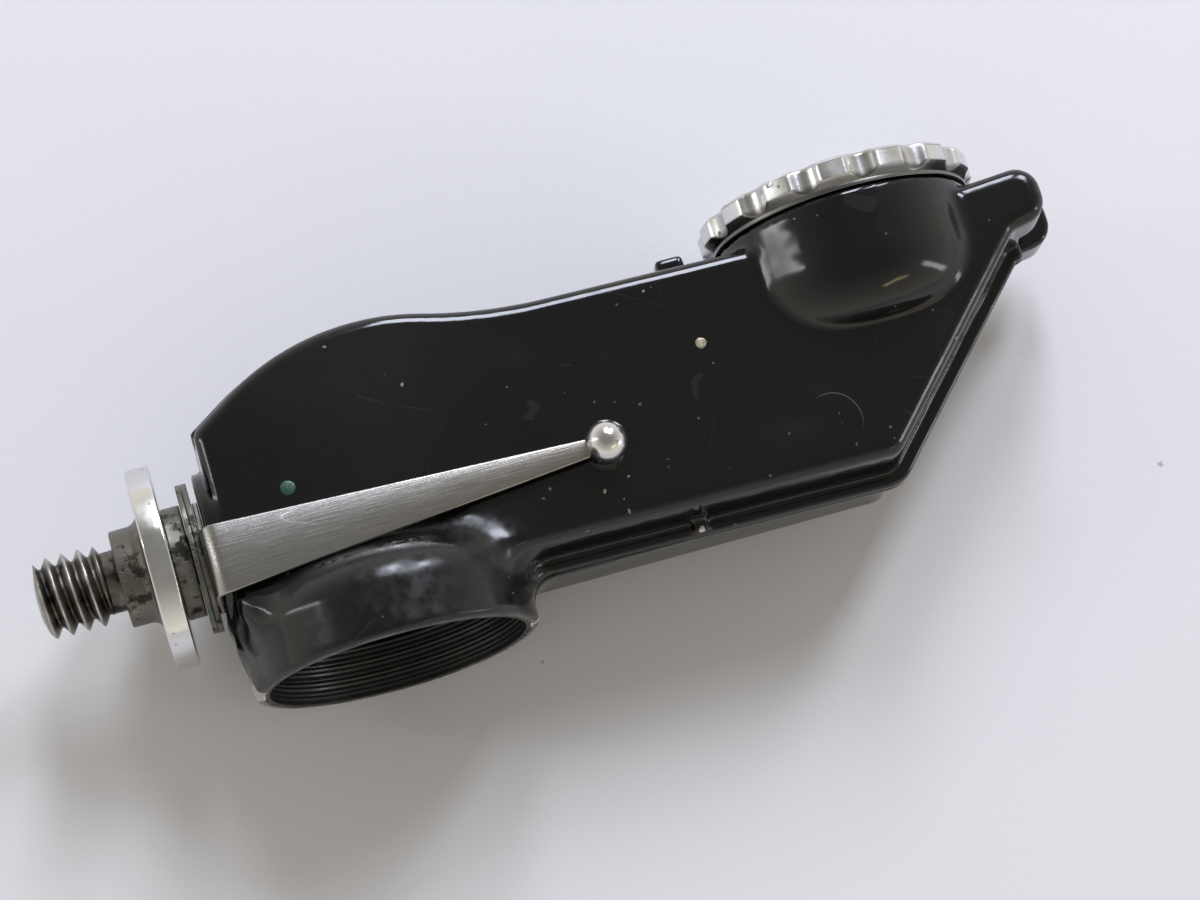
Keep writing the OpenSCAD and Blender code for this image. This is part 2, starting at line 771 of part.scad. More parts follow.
module eye_lens() {
    color(glass) placed() translate([eye_x, 0, 0]) lens(lens_r, eye_y, 0, eye_y + lens_t - 0.6, 0.6);
}

// Dished cap over the eye lens
module eye_cap() {
    seat = eye_y + lens_t - 0.45;
    top = tube_top + 0.25;
    color(black_brass) placed() translate([eye_x, 0, 0]) rotate([-90, 0, 0]) rotate_extrude() polygon([
        [lens_r - 0.6, seat],
        [lens_r, seat],
        [lens_r, tube_top + seat_gap],
        [tube_r, tube_top + seat_gap],
        [tube_r, top],
        [lens_r - 0.2, top],
        [lens_r - 1.3, seat + 0.35],
    ]);
}

// Turned stud: rounded end, quarter inch thread, relief neck and plain shaft
module mounting_stud() {
    end_round = 0.7;
    shaft_end = wall_t + 2.6;
    color(steel) placed() rotate([0, 90, 0]) rotate_extrude() polygon(concat(
        [[0, tip_x]],
        [for (a = [30:15:90]) [(neck_r) * sin(a), tip_x + end_round * (1 - cos(a))]],
        [
            [thread_r, tip_x + end_round + thread_r - neck_r],
            [thread_r, neck_x - 0.3],
            [neck_r, neck_x],
            [neck_r, hub_x],
            [shaft_r, hub_x],
            [shaft_r, shaft_end - 0.2],
            [shaft_r - 0.2, shaft_end],
            [0, shaft_end],
        ]
    ));
}

// Hub beside the thread; its sleeve carries the thumb disc
module stud_hub() {
    sleeve_r = shaft_r + 1.3;
    flare = 0.9;
    bore = shaft_r + seat_gap;
    color(zinc) placed() rotate([0, 90, 0]) rotate_extrude() polygon(concat(
        [[bore, hub_x], [hub_r - 0.15, hub_x], [hub_r, hub_x + 0.15]],
        [for (a = [0:15:90]) [hub_r + flare * (1 - cos(a)), disc_x - flare + flare * sin(a) - seat_gap]],
        [[sleeve_r, disc_x - seat_gap], [sleeve_r, disc_x + disc_t - seat_gap], [bore, disc_x + disc_t - seat_gap]]
    ));
}

// Smooth thumb disc with broken edges
module thumb_disc() {
    bevel = 0.2;
    bore = shaft_r + 1.3 + seat_gap;
    color(polished) placed() rotate([0, 90, 0]) rotate_extrude() polygon([
        [bore, disc_x],
        [disc_r - bevel, disc_x],
        [disc_r, disc_x + bevel],
        [disc_r, disc_x + disc_t - bevel],
        [disc_r - bevel, disc_x + disc_t],
        [bore, disc_x + disc_t],
    ]);
}

module stud_collar() {
    color(zinc) placed() along_x(collar_x + seat_gap) tube(collar_r, shaft_r + seat_gap, collar_len - seat_gap);
}

// Hexagon nut on the shaft's inner end
module stud_nut() {
    color(brass) placed() along_x(wall_t + 0.55) difference() {
        cylinder(r = shaft_r + 1.4, h = 1.6, $fn = 6);
        translate([0, 0, -cut]) cylinder(r = shaft_r + seat_gap, h = 2);
    }
}

module thrust_washer() {
    color(steel) placed() along_x(wall_t + seat_gap) tube(shaft_r + 1.5, shaft_r + run_gap, 0.4);
}

module clip_washer(x) {
    color(zinc) placed() along_x(x) tube(washer_r, shaft_r + run_gap, washer_t);
}

module clip_washer_outer() {
    clip_washer(washer_x);
}

module clip_washer_inner() {
    clip_washer(washer_x + washer_t);
}

// Fixed leg of the clip, held under the washers
module clip_tab() {
    eye_r = washer_r - 1.6;
    color(steel) placed() difference() {
        union() {
            translate([tab_x, clip_y - clip_w / 2, 0]) cube([clip_t, clip_w, bend_z - flex_gap]);
            along_x(tab_x) cylinder(r = eye_r, h = clip_t);
        }
        along_x(tab_x - cut) cylinder(r = shaft_r + run_gap, h = clip_t + 2 * cut);
    }
}

// Bend and tapered arm; the arm's narrow end is let into the ball
module clip_arm() {
    bend_x = tab_x + clip_t + clip_bend;
    arm_z = half_t + clip_gap;
    half_w = clip_w / 2;
    tip_half = clip_tip_w / 2;
    tongue_half = 0.4;
    arm_end = ball_x - ball_r * 0.9;
    color(steel) placed() {
        intersection() {
            translate([bend_x, clip_y - half_w, bend_z]) rotate([-90, 0, 0])
                tube(clip_bend + clip_t, clip_bend, clip_w);
            translate([bend_x - 5, clip_y - half_w - 1, bend_z]) cube([5, clip_w + 2, 5]);
        }
        translate([0, 0, arm_z]) linear_extrude(clip_t) polygon([
            [bend_x, clip_y - half_w],
            [arm_end, clip_tip_y - tip_half],
            [arm_end, clip_tip_y - tongue_half],
            [ball_x - 0.3, clip_tip_y - tongue_half],
            [ball_x - 0.3, clip_tip_y + tongue_half],
            [arm_end, clip_tip_y + tongue_half],
            [arm_end, clip_tip_y + tip_half],
            [bend_x, clip_y + half_w],
        ]);
    }
}

// Ball that holds the cloth against the face, slotted for the arm
module clip_ball() {
    ball_z = half_t + ball_r + 0.05;
    color(steel) placed() translate([ball_x, clip_tip_y, ball_z]) difference() {
        sphere(r = ball_r);
        translate([-ball_r - 1, -0.4 - seat_gap, half_t + clip_gap - ball_z - seat_gap])
            cube([ball_r + 0.7 + seat_gap, 0.8 + 2 * seat_gap, clip_t + 2 * seat_gap]);
        translate([-ball_r - 1, -clip_tip_w, half_t + clip_gap - ball_z - seat_gap])
            cube([1 + ball_r * 0.1 + seat_gap, 2 * clip_tip_w, clip_t + 2 * seat_gap]);
    }
}

// Fixed index for the focusing ring, let into both castings
module index_block() {
    top_r = 0.5;
    low = index_seat + seat_gap;
    high = index_top();
    color(enamel) placed() translate([index_x, 0, -index_half]) linear_extrude(2 * index_half) polygon(concat(
        [[0, low], [index_len, low]],
        [for (a = [0:30:90]) [index_len - top_r + top_r * cos(a), high - top_r + top_r * sin(a)]],
        [for (a = [90:30:180]) [top_r + top_r * cos(a), high - top_r + top_r * sin(a)]]
    ));
}

front_shell();
rear_shell();
front_housing_screw();
rear_housing_screw();
guide_pin();
objective_cell();
objective_crown_lens();
objective_flint_lens();
objective_retaining_ring();
front_mirror();
front_mirror_bracket();
reticle_cell();
reticle_disc();
erector_cell();
erector_lens();
rear_mirror();
rear_mirror_bracket();
focus_ring();
ring_retainer();
eyepiece_tube();
field_lens();
lens_spacer();
eye_lens();
eye_cap();
mounting_stud();
stud_hub();
thumb_disc();
stud_collar();
stud_nut();
thrust_washer();
clip_washer_outer();
clip_washer_inner();
clip_tab();
clip_arm();
clip_ball();
index_block();
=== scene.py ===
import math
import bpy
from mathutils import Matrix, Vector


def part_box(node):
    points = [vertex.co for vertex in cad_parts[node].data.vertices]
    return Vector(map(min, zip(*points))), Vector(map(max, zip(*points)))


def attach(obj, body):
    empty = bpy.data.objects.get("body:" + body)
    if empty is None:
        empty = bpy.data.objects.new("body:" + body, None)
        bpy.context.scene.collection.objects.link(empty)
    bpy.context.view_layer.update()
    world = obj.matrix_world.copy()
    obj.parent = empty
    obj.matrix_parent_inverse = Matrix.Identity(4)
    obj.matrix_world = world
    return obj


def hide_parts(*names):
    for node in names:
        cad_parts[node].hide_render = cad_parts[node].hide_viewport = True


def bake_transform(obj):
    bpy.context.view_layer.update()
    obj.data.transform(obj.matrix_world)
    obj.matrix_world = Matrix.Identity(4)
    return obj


bl_info = {
    "name": "Pocket rangefinder",
    "version": (1, 0, 0),
    "blender": (4, 5, 0),
    "location": "View3D > Sidebar > Rangefinder",
    "description": "Dresses the packed pocket rangefinder in cast, turned and sprung metal pieces",
    "category": "Object",
}

import bmesh
import bpy
import numpy as np
from bpy.props import FloatProperty, FloatVectorProperty, IntProperty, PointerProperty
from mathutils import Matrix, Vector

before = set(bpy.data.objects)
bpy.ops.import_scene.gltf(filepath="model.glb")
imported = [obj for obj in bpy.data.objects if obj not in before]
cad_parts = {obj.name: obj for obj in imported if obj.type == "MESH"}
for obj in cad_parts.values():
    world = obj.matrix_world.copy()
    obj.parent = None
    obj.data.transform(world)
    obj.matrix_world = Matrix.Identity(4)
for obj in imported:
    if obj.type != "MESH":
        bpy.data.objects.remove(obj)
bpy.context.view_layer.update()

MM = 0.001

# Sizes below are in millimetres from the point where the stud's axis meets the left wall:
# X along the housing, Y from the objective towards the eyepiece, Z from the parting plane
# towards the clip's face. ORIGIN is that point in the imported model, in metres.
PAD_OUT = 0.85
_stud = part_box("mounting_stud")
ORIGIN = np.array([
    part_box("front_shell")[0].x + PAD_OUT * MM,
    (_stud[0].y + _stud[1].y) / 2,
    (_stud[0].z + _stud[1].z) / 2,
])

# Castings: half thickness, wall, height of the hollow, lean and rounded edge of the walls
HALF_T = 6.5
WALL_T = 1.5
SLOT_H = 5.2
DRAFT = 0.15
EDGE_R = 1.0
# Bead round the parting line, and the round pad that the stud stands on
BEAD_OUT = 1.1
BEAD_T = 0.8
PAD_R = 6.4
# Lower wall, crease where the slanted wall begins, its end and its angle, and where the lugs
# start
LOW_Y = -8
CREASE_X = 52.3
SLANT_END_X = 66.2
SLANT_ANGLE = 47
LUG_ROOT = 67.4
# What the rear casting has more than the front one: depth below and length of its lug
REAR_DEPTH = 0.8
REAR_LUG = 1.6
# Lowest and highest corner of each: web at the lower wall, seat of the index block, pocket of
# the eyepiece tube's tongue, and the gap between the lugs
WEB = ((35.7, -8.75, 0.4), (36.9, -7.3, 1.6))
INDEX_SEAT = ((38.77, 10.55, -2), (41.13, 16, 1.33))
TONGUE_POCKET = ((52.1, 3.5, -2), (56.1, 10.2, 7.2))
LUG_GAP = ((LUG_ROOT, 0, -5), (80, 20, 2.2))
# Screws through both castings, at X and Y
GREEN_SCREW = (6.1, 2.0)
PALE_SCREW = (39.8, 4.6)

# Objective barrel, its rim and its bore, then the eyepiece boss, its seat and its ring
BARREL_X = 10.9
BARREL_R = 11.4
RIM_Y = -12.1
BORE_R = 10.25
CELL_Y = -7.9
EYE_X = 54.1
BOSS_R = 10.4
SEAT_Y = 12.5
RING_R = 11.2
RING_BEVEL_R = 10.5
RING_T = 2.5
FLUTE_DEPTH = 0.65
# Hollows round the two axes: radius, and where each starts and ends along Y
BARREL_HOLLOWS = (
    (BORE_R + 0.25, RIM_Y - 2, CELL_Y + 0.05),
    (BORE_R - 0.2, CELL_Y - 1, CELL_Y + 0.9),
    (8.75, CELL_Y, -5.0),
)
BOSS_HOLLOWS = ((8.06, 10, SEAT_Y + 2), (8.7, 8.4, 10.85), (11.55, SEAT_Y, SEAT_Y + 8))

# Clip: its place along Y at the bend and at the ball, its thickness and half widths, its bend,
# its ball and the outer face of its fixed leg
CLIP_Y = -2.2
CLIP_TIP_Y = -1.4
CLIP_T = 0.5
CLIP_HALF_W = 2.75
CLIP_TIP_HALF_W = 0.75
BEND_R = 0.8
BEND_Z = 6.3
BALL_X = 30.4
BALL_R = 1.65
TAB_X = -1.35

# Stud: radius of the holes that it passes, its thread, its end inside the housing, and where
# each piece on it starts along X
STUD_HOLE_R = 2.06
THREAD_R = 3.175
STUD_INNER_X = 4.1
WASHER_X = -2.25
COLLAR_X = -3.81
DISC_X = -5.71
DISC_T = 1.9
HUB_X = -8.11
NECK_X = -9.11
TIP_X = -14.71

# Chips in the enamel: place, and radius
ENAMEL_CHIPS = [
    ((BARREL_X - 10.9, RIM_Y, 1.1), 1.5),
    ((BARREL_X + 11.1, RIM_Y + 0.1, 0.6), 0.8),
    ((36.3, -8.6, 1.5), 0.22),
]
# Radius of a turned piece where it meets its axis, so that its faces there keep an area
AXIS_R = 1e-4


class CastingSizes(bpy.types.PropertyGroup):
    """Sizes of the two enamelled castings that a user would change"""

    step: FloatProperty(
        name="Surface step", description="Spacing of the worked-out surface, in millimetres",
        default=0.3, min=0.25, max=1.0)
    barrel_blend: FloatProperty(
        name="Barrel fillet", description="Reach of the fillet round the barrel, in millimetres",
        default=2.4, min=0.1, max=4.0)
    boss_blend: FloatProperty(
        name="Boss fillet", description="Reach of the fillet round the eyepiece boss, in millimetres",
        default=0.65, min=0.1, max=4.0)
    ridge_pitch: FloatProperty(
        name="Ridge pitch", description="Distance between the ridges in the open bore, in millimetres",
        default=0.38, min=0.3, max=1.2)


class MetalSizes(bpy.types.PropertyGroup):
    """Sizes of the turned and sprung pieces that a user would change"""

    thread_pitch: FloatProperty(
        name="Thread pitch", description="Pitch of the tripod thread, in millimetres",
        default=1.27, min=0.8, max=2.0)
    flutes: IntProperty(
        name="Flutes", description="Number of finger flutes round the focusing ring",
        default=15, min=8, max=24)
    flute_r: FloatProperty(
        name="Flute radius", description="Radius of each finger flute, in millimetres",
        default=1.5, min=0.8, max=2.5)
    strip_corner: FloatProperty(
        name="Strip edge", description="Rounding of the clip strip's edges, in millimetres",
        default=0.14, min=0.02, max=0.24)


class FinishColours(bpy.types.PropertyGroup):
    """Colours of the finishes"""

    enamel: FloatVectorProperty(
        name="Enamel", description="Black stoving enamel of the castings", subtype="COLOR", size=3,
        default=(0.0042, 0.0044, 0.0047), min=0, max=1)
    steel: FloatVectorProperty(
        name="Spring steel", description="Brushed steel of the clip", subtype="COLOR", size=3,
        default=(0.4, 0.395, 0.375), min=0, max=1)
    plate: FloatVectorProperty(
        name="Bright plate", description="Polished metal of the ring and the thumb disc",
        subtype="COLOR", size=3, default=(0.74, 0.74, 0.735), min=0, max=1)
    zinc: FloatVectorProperty(
        name="Pitted zinc", description="Dull metal of the hub, collar and washers",
        subtype="COLOR", size=3, default=(0.17, 0.162, 0.14), min=0, max=1)
    dark_steel: FloatVectorProperty(
        name="Dark steel", description="Aged steel of the thread", subtype="COLOR", size=3,
        default=(0.2, 0.185, 0.16), min=0, max=1)
    verdigris: FloatVectorProperty(
        name="Verdigris", description="Green corrosion on brass and round the stud",
        subtype="COLOR", size=3, default=(0.045, 0.2, 0.15), min=0, max=1)
    paper: FloatVectorProperty(
        name="Paper", description="Pale floor under the instrument", subtype="COLOR", size=3,
        default=(0.76, 0.76, 0.78), min=0, max=1)


# Mesh making

def make_mesh(name, points, faces, merge=None, sharp=None):
    """Makes an object from points in part millimetres and its faces, with its place in its mesh.
    merge joins points closer than it and turns all faces outwards. Faces turn smoothly, except
    at edges sharper than the angle given in degrees."""
    mesh = bpy.data.meshes.new(name)
    metres = np.asarray(points, float).reshape(-1, 3) * MM + ORIGIN
    mesh.from_pydata(metres.tolist(), [], faces if isinstance(faces, list) else faces.tolist())
    obj = bpy.data.objects.new(name, mesh)
    bpy.context.scene.collection.objects.link(obj)
    if merge is not None:
        work = bmesh.new()
        work.from_mesh(mesh)
        if merge > 0:
            bmesh.ops.remove_doubles(work, verts=work.verts, dist=merge * MM)
        bmesh.ops.recalc_face_normals(work, faces=work.faces)
        work.to_mesh(mesh)
        work.free()
    mesh.polygons.foreach_set("use_smooth", np.ones(len(mesh.polygons), bool))
    if sharp is not None:
        mesh.set_sharp_from_angle(angle=math.radians(sharp))
    mesh.update()
    return obj


def grid_faces(rows, columns, close_rows=False):
    """Quads of a grid whose point (i, j) is number i * columns + j, closed along its columns."""
    i = np.arange(rows if close_rows else rows - 1)
    i, j = np.meshgrid(i, np.arange(columns), indexing="ij")
    below = i * columns
    above = (i + 1) % rows * columns
    after = (j + 1) % columns
    quads = np.stack([below + j, below + after, above + after, above + j], axis=-1)
    return quads.reshape(-1, 4)


def lathe(name, profile, axis, centre=(0, 0, 0), turns=96, closed=True, relief=None, sharp=None):
    """Turned piece. Point (k, t) is the profile's point k, which holds a radius and a place along
    the axis, turned through the angle t about the axis. relief(radius, along, angle) gives the
    radius that the worn or cut piece has there."""
    profile = np.asarray(profile, float)
    radius = np.repeat(profile[:, :1], turns, axis=1)
    along = np.repeat(profile[:, 1:2], turns, axis=1)
    angles = np.repeat(np.arange(turns)[None, :] * 2 * np.pi / turns, len(profile), axis=0)
    if relief is not None:
        radius = relief(radius, along, angles)
    first = radius * np.cos(angles)
    second = radius * np.sin(angles)
    order = {"X": (along, first, second), "Y": (first, along, -second), "Z": (first, second, along)}
    points = np.stack(order[axis], axis=-1) + np.asarray(centre, float)
    faces = grid_faces(len(profile), turns, close_rows=closed)
    return make_mesh(name, points, faces, merge=0.0005, sharp=sharp)


def rounded_profile(corners, steps=5):
    """Closed profile whose corners, given as radius, along and rounding, become arcs: each arc is
    the quadratic curve that leaves one side and meets the next at the rounding's distance."""
    corners = np.asarray(corners, float)
    points = []
    for k in range(len(corners)):
        here = corners[k, :2]
        to_last = corners[k - 1, :2] - here
        to_next = corners[(k + 1) % len(corners), :2] - here
        reach = corners[k, 2]
        a = here + to_last / np.linalg.norm(to_last) * reach
        b = here + to_next / np.linalg.norm(to_next) * reach
        t = np.linspace(0, 1, steps)[:, None] if reach > 0 else np.zeros((1, 1))
        points.append((1 - t) ** 2 * a + 2 * t * (1 - t) * here + t ** 2 * b)
    return np.concatenate(points)


def ring_profile(inner, outer, low, high, rounding, steps=4):
    """Flat ring between two places along its axis, with its outer edges rounded."""
    return rounded_profile([(inner, low, 0.02), (outer, low, rounding), (outer, high, rounding),
                            (inner, high, 0.02)], steps)


def finish_piece(obj, body, finish, node=None):
    """Gives a piece its material and its body, and hides the CAD node that it stands for."""
    obj.data.materials.append(material(finish))
    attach(obj, body)
    if node:
        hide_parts(node)


# The castings as distances: below zero is metal

def corner_arc(corners, i, inset):
    """Rounded corner of an outline moved inwards by inset, as in the part's source: the arc of the
    corner's radius that touches both sides."""
    here = np.array(corners[i][:2])
    last = np.array(corners[i - 1][:2])
    following = np.array(corners[(i + 1) % len(corners)][:2])
    u = (here - last) / np.linalg.norm(here - last)
    v = (following - here) / np.linalg.norm(following - here)
    left_u = np.array([-u[1], u[0]])
    left_v = np.array([-v[1], v[0]])
    turn = 1 if u[0] * v[1] - u[1] * v[0] > 0 else -1
    corner = here + inset * (left_u + left_v) / (1 + u @ v)
    radius = max(corners[i][2] - turn * inset, 0.1)
    swing = math.acos(u @ v)
    start = corner - u * radius * math.tan(swing / 2)
    centre = start + turn * radius * left_u
    angle = turn * swing * np.linspace(0, 1, corners[i][3] + 1)
    arm = start - centre
    x = centre[0] + arm[0] * np.cos(angle) - arm[1] * np.sin(angle)
    y = centre[1] + arm[0] * np.sin(angle) + arm[1] * np.cos(angle)
    return np.stack([x, y], axis=1)


def outline(deep, more, inset=0.0):
    """Walls' outline, anticlockwise; deep lowers the lower wall and more lengthens the lug. Each
    corner has its place, its radius and the number of steps of its arc."""
    slant = math.tan(math.radians(SLANT_ANGLE))
    root_y = (SLANT_END_X - CREASE_X) * slant + LOW_Y
    start_y = LOW_Y - deep + (0.9 if deep == 0 else 0)
    corners = [
        (0, start_y, 1.4, 8),
        (CREASE_X - deep / slant, LOW_Y - deep, 1.6, 8),
        (SLANT_END_X, root_y, 1.2, 8),
        (69.4 + more, root_y + 0.7, 2.1, 12),
        (69.3 + more, 12.2, 2.1, 12),
        (EYE_X, 11.1, 60, 8),
        (24.3, 11.8, 38, 12),
        (BARREL_X, 15.5, 20, 24),
        (0, 8.4, 1.4, 8),
    ]
    return np.concatenate([corner_arc(corners, i, inset) for i in range(len(corners))])


def polygon_distance(x, y, polygon):
    """Signed distance from points to a polygon: the least distance to any of its sides, negative
    where a ray to the right crosses an odd number of sides."""
    shape = x.shape
    px = x.reshape(-1)
    py = y.reshape(-1)
    nearest = np.full(px.shape, np.inf)
    inside = np.zeros(px.shape, bool)
    for a, b in zip(polygon, np.roll(polygon, -1, axis=0)):
        dx, dy = b - a
        wx = px - a[0]
        wy = py - a[1]
        t = np.clip((wx * dx + wy * dy) / (dx * dx + dy * dy), 0, 1)
        nearest = np.minimum(nearest, (wx - t * dx) ** 2 + (wy - t * dy) ** 2)
        if dy != 0:
            inside ^= ((a[1] > py) != (b[1] > py)) & (wx < dx * wy / dy)
    return np.where(inside, -1, 1).reshape(shape) * np.sqrt(nearest).reshape(shape)


def soft_union(a, b, reach):
    """Union of two distances with a fillet: the lower one, less a quarter of the squared overlap."""
    overlap = np.maximum(reach - np.abs(a - b), 0)
    return np.minimum(a, b) - overlap * overlap / (4 * reach)


def soft_cut(a, b, reach):
    """Body a without body b, with the edge between them rounded over."""
    return -soft_union(-a, b, reach)


def slab(side, height, top, edge):
    """Upright body with a rounded upper edge: side is the distance to its walls."""
    across = side + edge
    over = height - top + edge
    outside = np.hypot(np.maximum(across, 0), np.maximum(over, 0))
    return np.minimum(np.maximum(across, over), 0) + outside - edge


def block(x, y, z, corners, edge=0.0):
    """Box between two corners, with its edges rounded."""
    q = [np.abs(v - (a + b) / 2) - (b - a) / 2 + edge for v, a, b in zip((x, y, z), *corners)]
    outside = np.sqrt(sum(np.maximum(v, 0) ** 2 for v in q))
    return outside + np.minimum(np.maximum(q[0], np.maximum(q[1], q[2])), 0) - edge


def rod(across, along, radius, low, high, edge=0.0):
    """Round rod: across is the distance from its axis, along the place on it."""
    qr = across - radius + edge
    qa = np.abs(along - (low + high) / 2) - (high - low) / 2 + edge
    return np.hypot(np.maximum(qr, 0), np.maximum(qa, 0)) + np.minimum(np.maximum(qr, qa), 0) - edge


def domed_profile(radius, y_root, dome, y_end, rounding):
    """Profile of the barrel and of the boss: an elliptic shoulder from the faces to the radius."""
    way = np.sign(y_end - y_root)
    root_r = HALF_T - 0.5
    a = np.linspace(0, np.pi / 2, 16)
    shoulder = np.stack([root_r + (radius - root_r) * np.sin(a),
                         y_root + way * dome * (1 - np.cos(a))], axis=1)
    b = np.linspace(0, np.pi / 2, 5)
    finish = np.stack([radius - rounding * (1 - np.cos(b)),
                       y_end - way * rounding * (1 - np.sin(b))], axis=1)
    return np.concatenate([[[-1, y_root]], shoulder, finish, [[-1, y_end]]])


BARREL_PROFILE = domed_profile(BARREL_R, -4.3, 3.8, RIM_Y, 0.5)
BOSS_PROFILE = domed_profile(BOSS_R, 2.6, 5.0, SEAT_Y, 0.3)


class Casting:
    """One half of the housing as a distance, with z measured from the parting plane"""

    def __init__(self, front, sizes):
        self.front = front
        self.sizes = sizes
        deep = 0 if front else REAR_DEPTH
        more = 0 if front else REAR_LUG
        self.plans = (outline(deep, more), outline(0, more), outline(0, 0, WALL_T))

    def fields(self, x, y):
        """Plan distances to the walls, the bead and the cavity."""
        return [polygon_distance(x, y, plan) for plan in self.plans]

    def solid(self, x, y, z, walls, bead):
        """Smooth union of slab, bead, pad, barrel, boss and, on the front casting, the web."""
        metal = slab(walls + DRAFT * z / (HALF_T - EDGE_R), z, HALF_T, EDGE_R)
        lip = np.maximum(slab(bead - BEAD_OUT, z, BEAD_T, 0.28), -x)
        metal = soft_union(metal, lip, 0.12)
        pad = rod(np.hypot(y, z), x, PAD_R, -PAD_OUT, 1.0, 0.3)
        metal = soft_union(metal, pad, 0.5)
        barrel = polygon_distance(np.hypot(x - BARREL_X, z), y, BARREL_PROFILE)
        metal = soft_union(metal, barrel, self.sizes.barrel_blend)
        boss = polygon_distance(np.hypot(x - EYE_X, z), y, BOSS_PROFILE)
        metal = soft_union(metal, boss, self.sizes.boss_blend)
        if self.front:
            metal = soft_union(metal, block(x, y, z, WEB, 0.2), 0.3)
        return metal

    def hollow(self, x, y, z, cavity):
        """Union of the cavity, the bores, the seats and the screw holes, less the screw posts."""
        hollow = np.maximum(np.maximum(cavity, z - SLOT_H), x - LUG_ROOT + WALL_T)
        for centre, bores in ((BARREL_X, BARREL_HOLLOWS), (EYE_X, BOSS_HOLLOWS)):
            across = np.hypot(x - centre, z)
            for radius, low, high in bores:
                hollow = np.minimum(hollow, rod(across, y, radius, low, high))
        hollow = np.minimum(hollow, rod(np.hypot(y, z), x, STUD_HOLE_R, -3, 2.45))
        hollow = np.minimum(hollow, block(x, y, z, INDEX_SEAT))
        for place in (GREEN_SCREW, PALE_SCREW):
            across = np.hypot(x - place[0], y - place[1])
            hollow = np.maximum(hollow, -rod(across, z, 1.5, -1, SLOT_H + 1))
            hollow = np.minimum(hollow, rod(across, z, 0.78, -1, 6.0 if self.front else 9))
            if not self.front:
                hollow = np.minimum(hollow, rod(across, z, 1.53, 5.5, 9))
        if self.front:
            hollow = np.minimum(hollow, block(x, y, z, TONGUE_POCKET))
        return hollow

    def distance(self, x, y, z, plan):
        """The metal less its hollows and the gap between the lugs, above the parting plane."""
        walls, bead, cavity = plan
        metal = np.maximum(self.solid(x, y, z, walls, bead), -self.hollow(x, y, z, cavity))
        metal = soft_cut(metal, block(x, y, z, LUG_GAP, 0.2), 0.4)
        return np.maximum(metal, -z)

    def on_grid(self, xs, ys, zs):
        """Distance at each point of a grid; one plan distance serves a whole column."""
        x, y = np.meshgrid(xs, ys, indexing="ij")
        plan = [field[:, :, None] for field in self.fields(x, y)]
        return self.distance(*np.meshgrid(xs, ys, zs, indexing="ij"), plan)

    def at(self, points):
        """Distance at loose points."""
        x, y, z = points.T
        return self.distance(x, y, z, self.fields(x, y))


NEWTON_STEPS = 3
SLOPE_NUDGE = 0.01


def cell_points(values, low, step):
    """One point for each cell of a cubic grid that the surface crosses, the mean of the crossings
    of its twelve edges, and each cell's point number, or -1."""
    cells = tuple(n - 1 for n in values.shape)
    total = np.zeros(cells + (3,))
    count = np.zeros(cells)
    corner = [slice(None, -1), slice(1, None)]
    for axis in range(3):
        others = [k for k in range(3) if k != axis]
        for first in (0, 1):
            for second in (0, 1):
                pick = [None, None, None]
                pick[others[0]] = corner[first]
                pick[others[1]] = corner[second]
                pick[axis] = corner[0]
                start = values[tuple(pick)]
                pick[axis] = corner[1]
                end = values[tuple(pick)]
                crosses = (start < 0) != (end < 0)
                part = np.where(crosses, start / np.where(crosses, start - end, 1), 0)
                total[..., axis] += part
                total[..., others[0]] += crosses * first
                total[..., others[1]] += crosses * second
                count += crosses
    active = count > 0
    number = np.full(cells, -1)
    number[active] = np.arange(active.sum())
    base = np.argwhere(active)
    points = (base + total[active] / count[active][:, None]) * step + np.array(low)
    return points, number


def cell_quads(inside, number):
    """One quad for each grid edge that the surface crosses, of the four cells round that edge."""
    quads = []
    for axis in range(3):
        u, v = [(1, 2), (2, 0), (0, 1)][axis]
        lead = [slice(1, -1)] * 3
        lead[axis] = slice(0, -1)
        follow = list(lead)
        follow[axis] = slice(1, None)
        a = inside[tuple(lead)]
        b = inside[tuple(follow)]
        for flip, crossing in ((False, a & ~b), (True, ~a & b)):
            spot = np.argwhere(crossing)
            spot[:, u] += 1
            spot[:, v] += 1
            ring = []
            for du, dv in ((-1, -1), (0, -1), (0, 0), (-1, 0)):
                cell = spot.copy()
                cell[:, u] += du
                cell[:, v] += dv
                ring.append(number[cell[:, 0], cell[:, 1], cell[:, 2]])
            quads.append(np.stack(ring[::-1] if flip else ring, axis=1))
    return np.concatenate(quads)


def net_surface(body, low, high, step):
    """Surface where a body's distance is zero: points and quads of the cells that it crosses, and
    then Newton steps, each held to half a cell, that put the points on the surface."""
    axes = [np.arange(a, b + step, step) for a, b in zip(low, high)]
    values = body.on_grid(*axes)
    points, number = cell_points(values, low, step)
    quads = cell_quads(values < 0, number)
    for _ in range(NEWTON_STEPS):
        here = body.at(points)
        ahead = [body.at(points + SLOPE_NUDGE * way) for way in np.eye(3)]
        slope = np.stack([(there - here) / SLOPE_NUDGE for there in ahead], axis=1)
        length = np.maximum((slope ** 2).sum(axis=1, keepdims=True), 0.25)
        move = -here[:, None] * slope / length
        points = points + np.clip(move, -0.5 * step, 0.5 * step)
    return points, quads


# Shader nodes

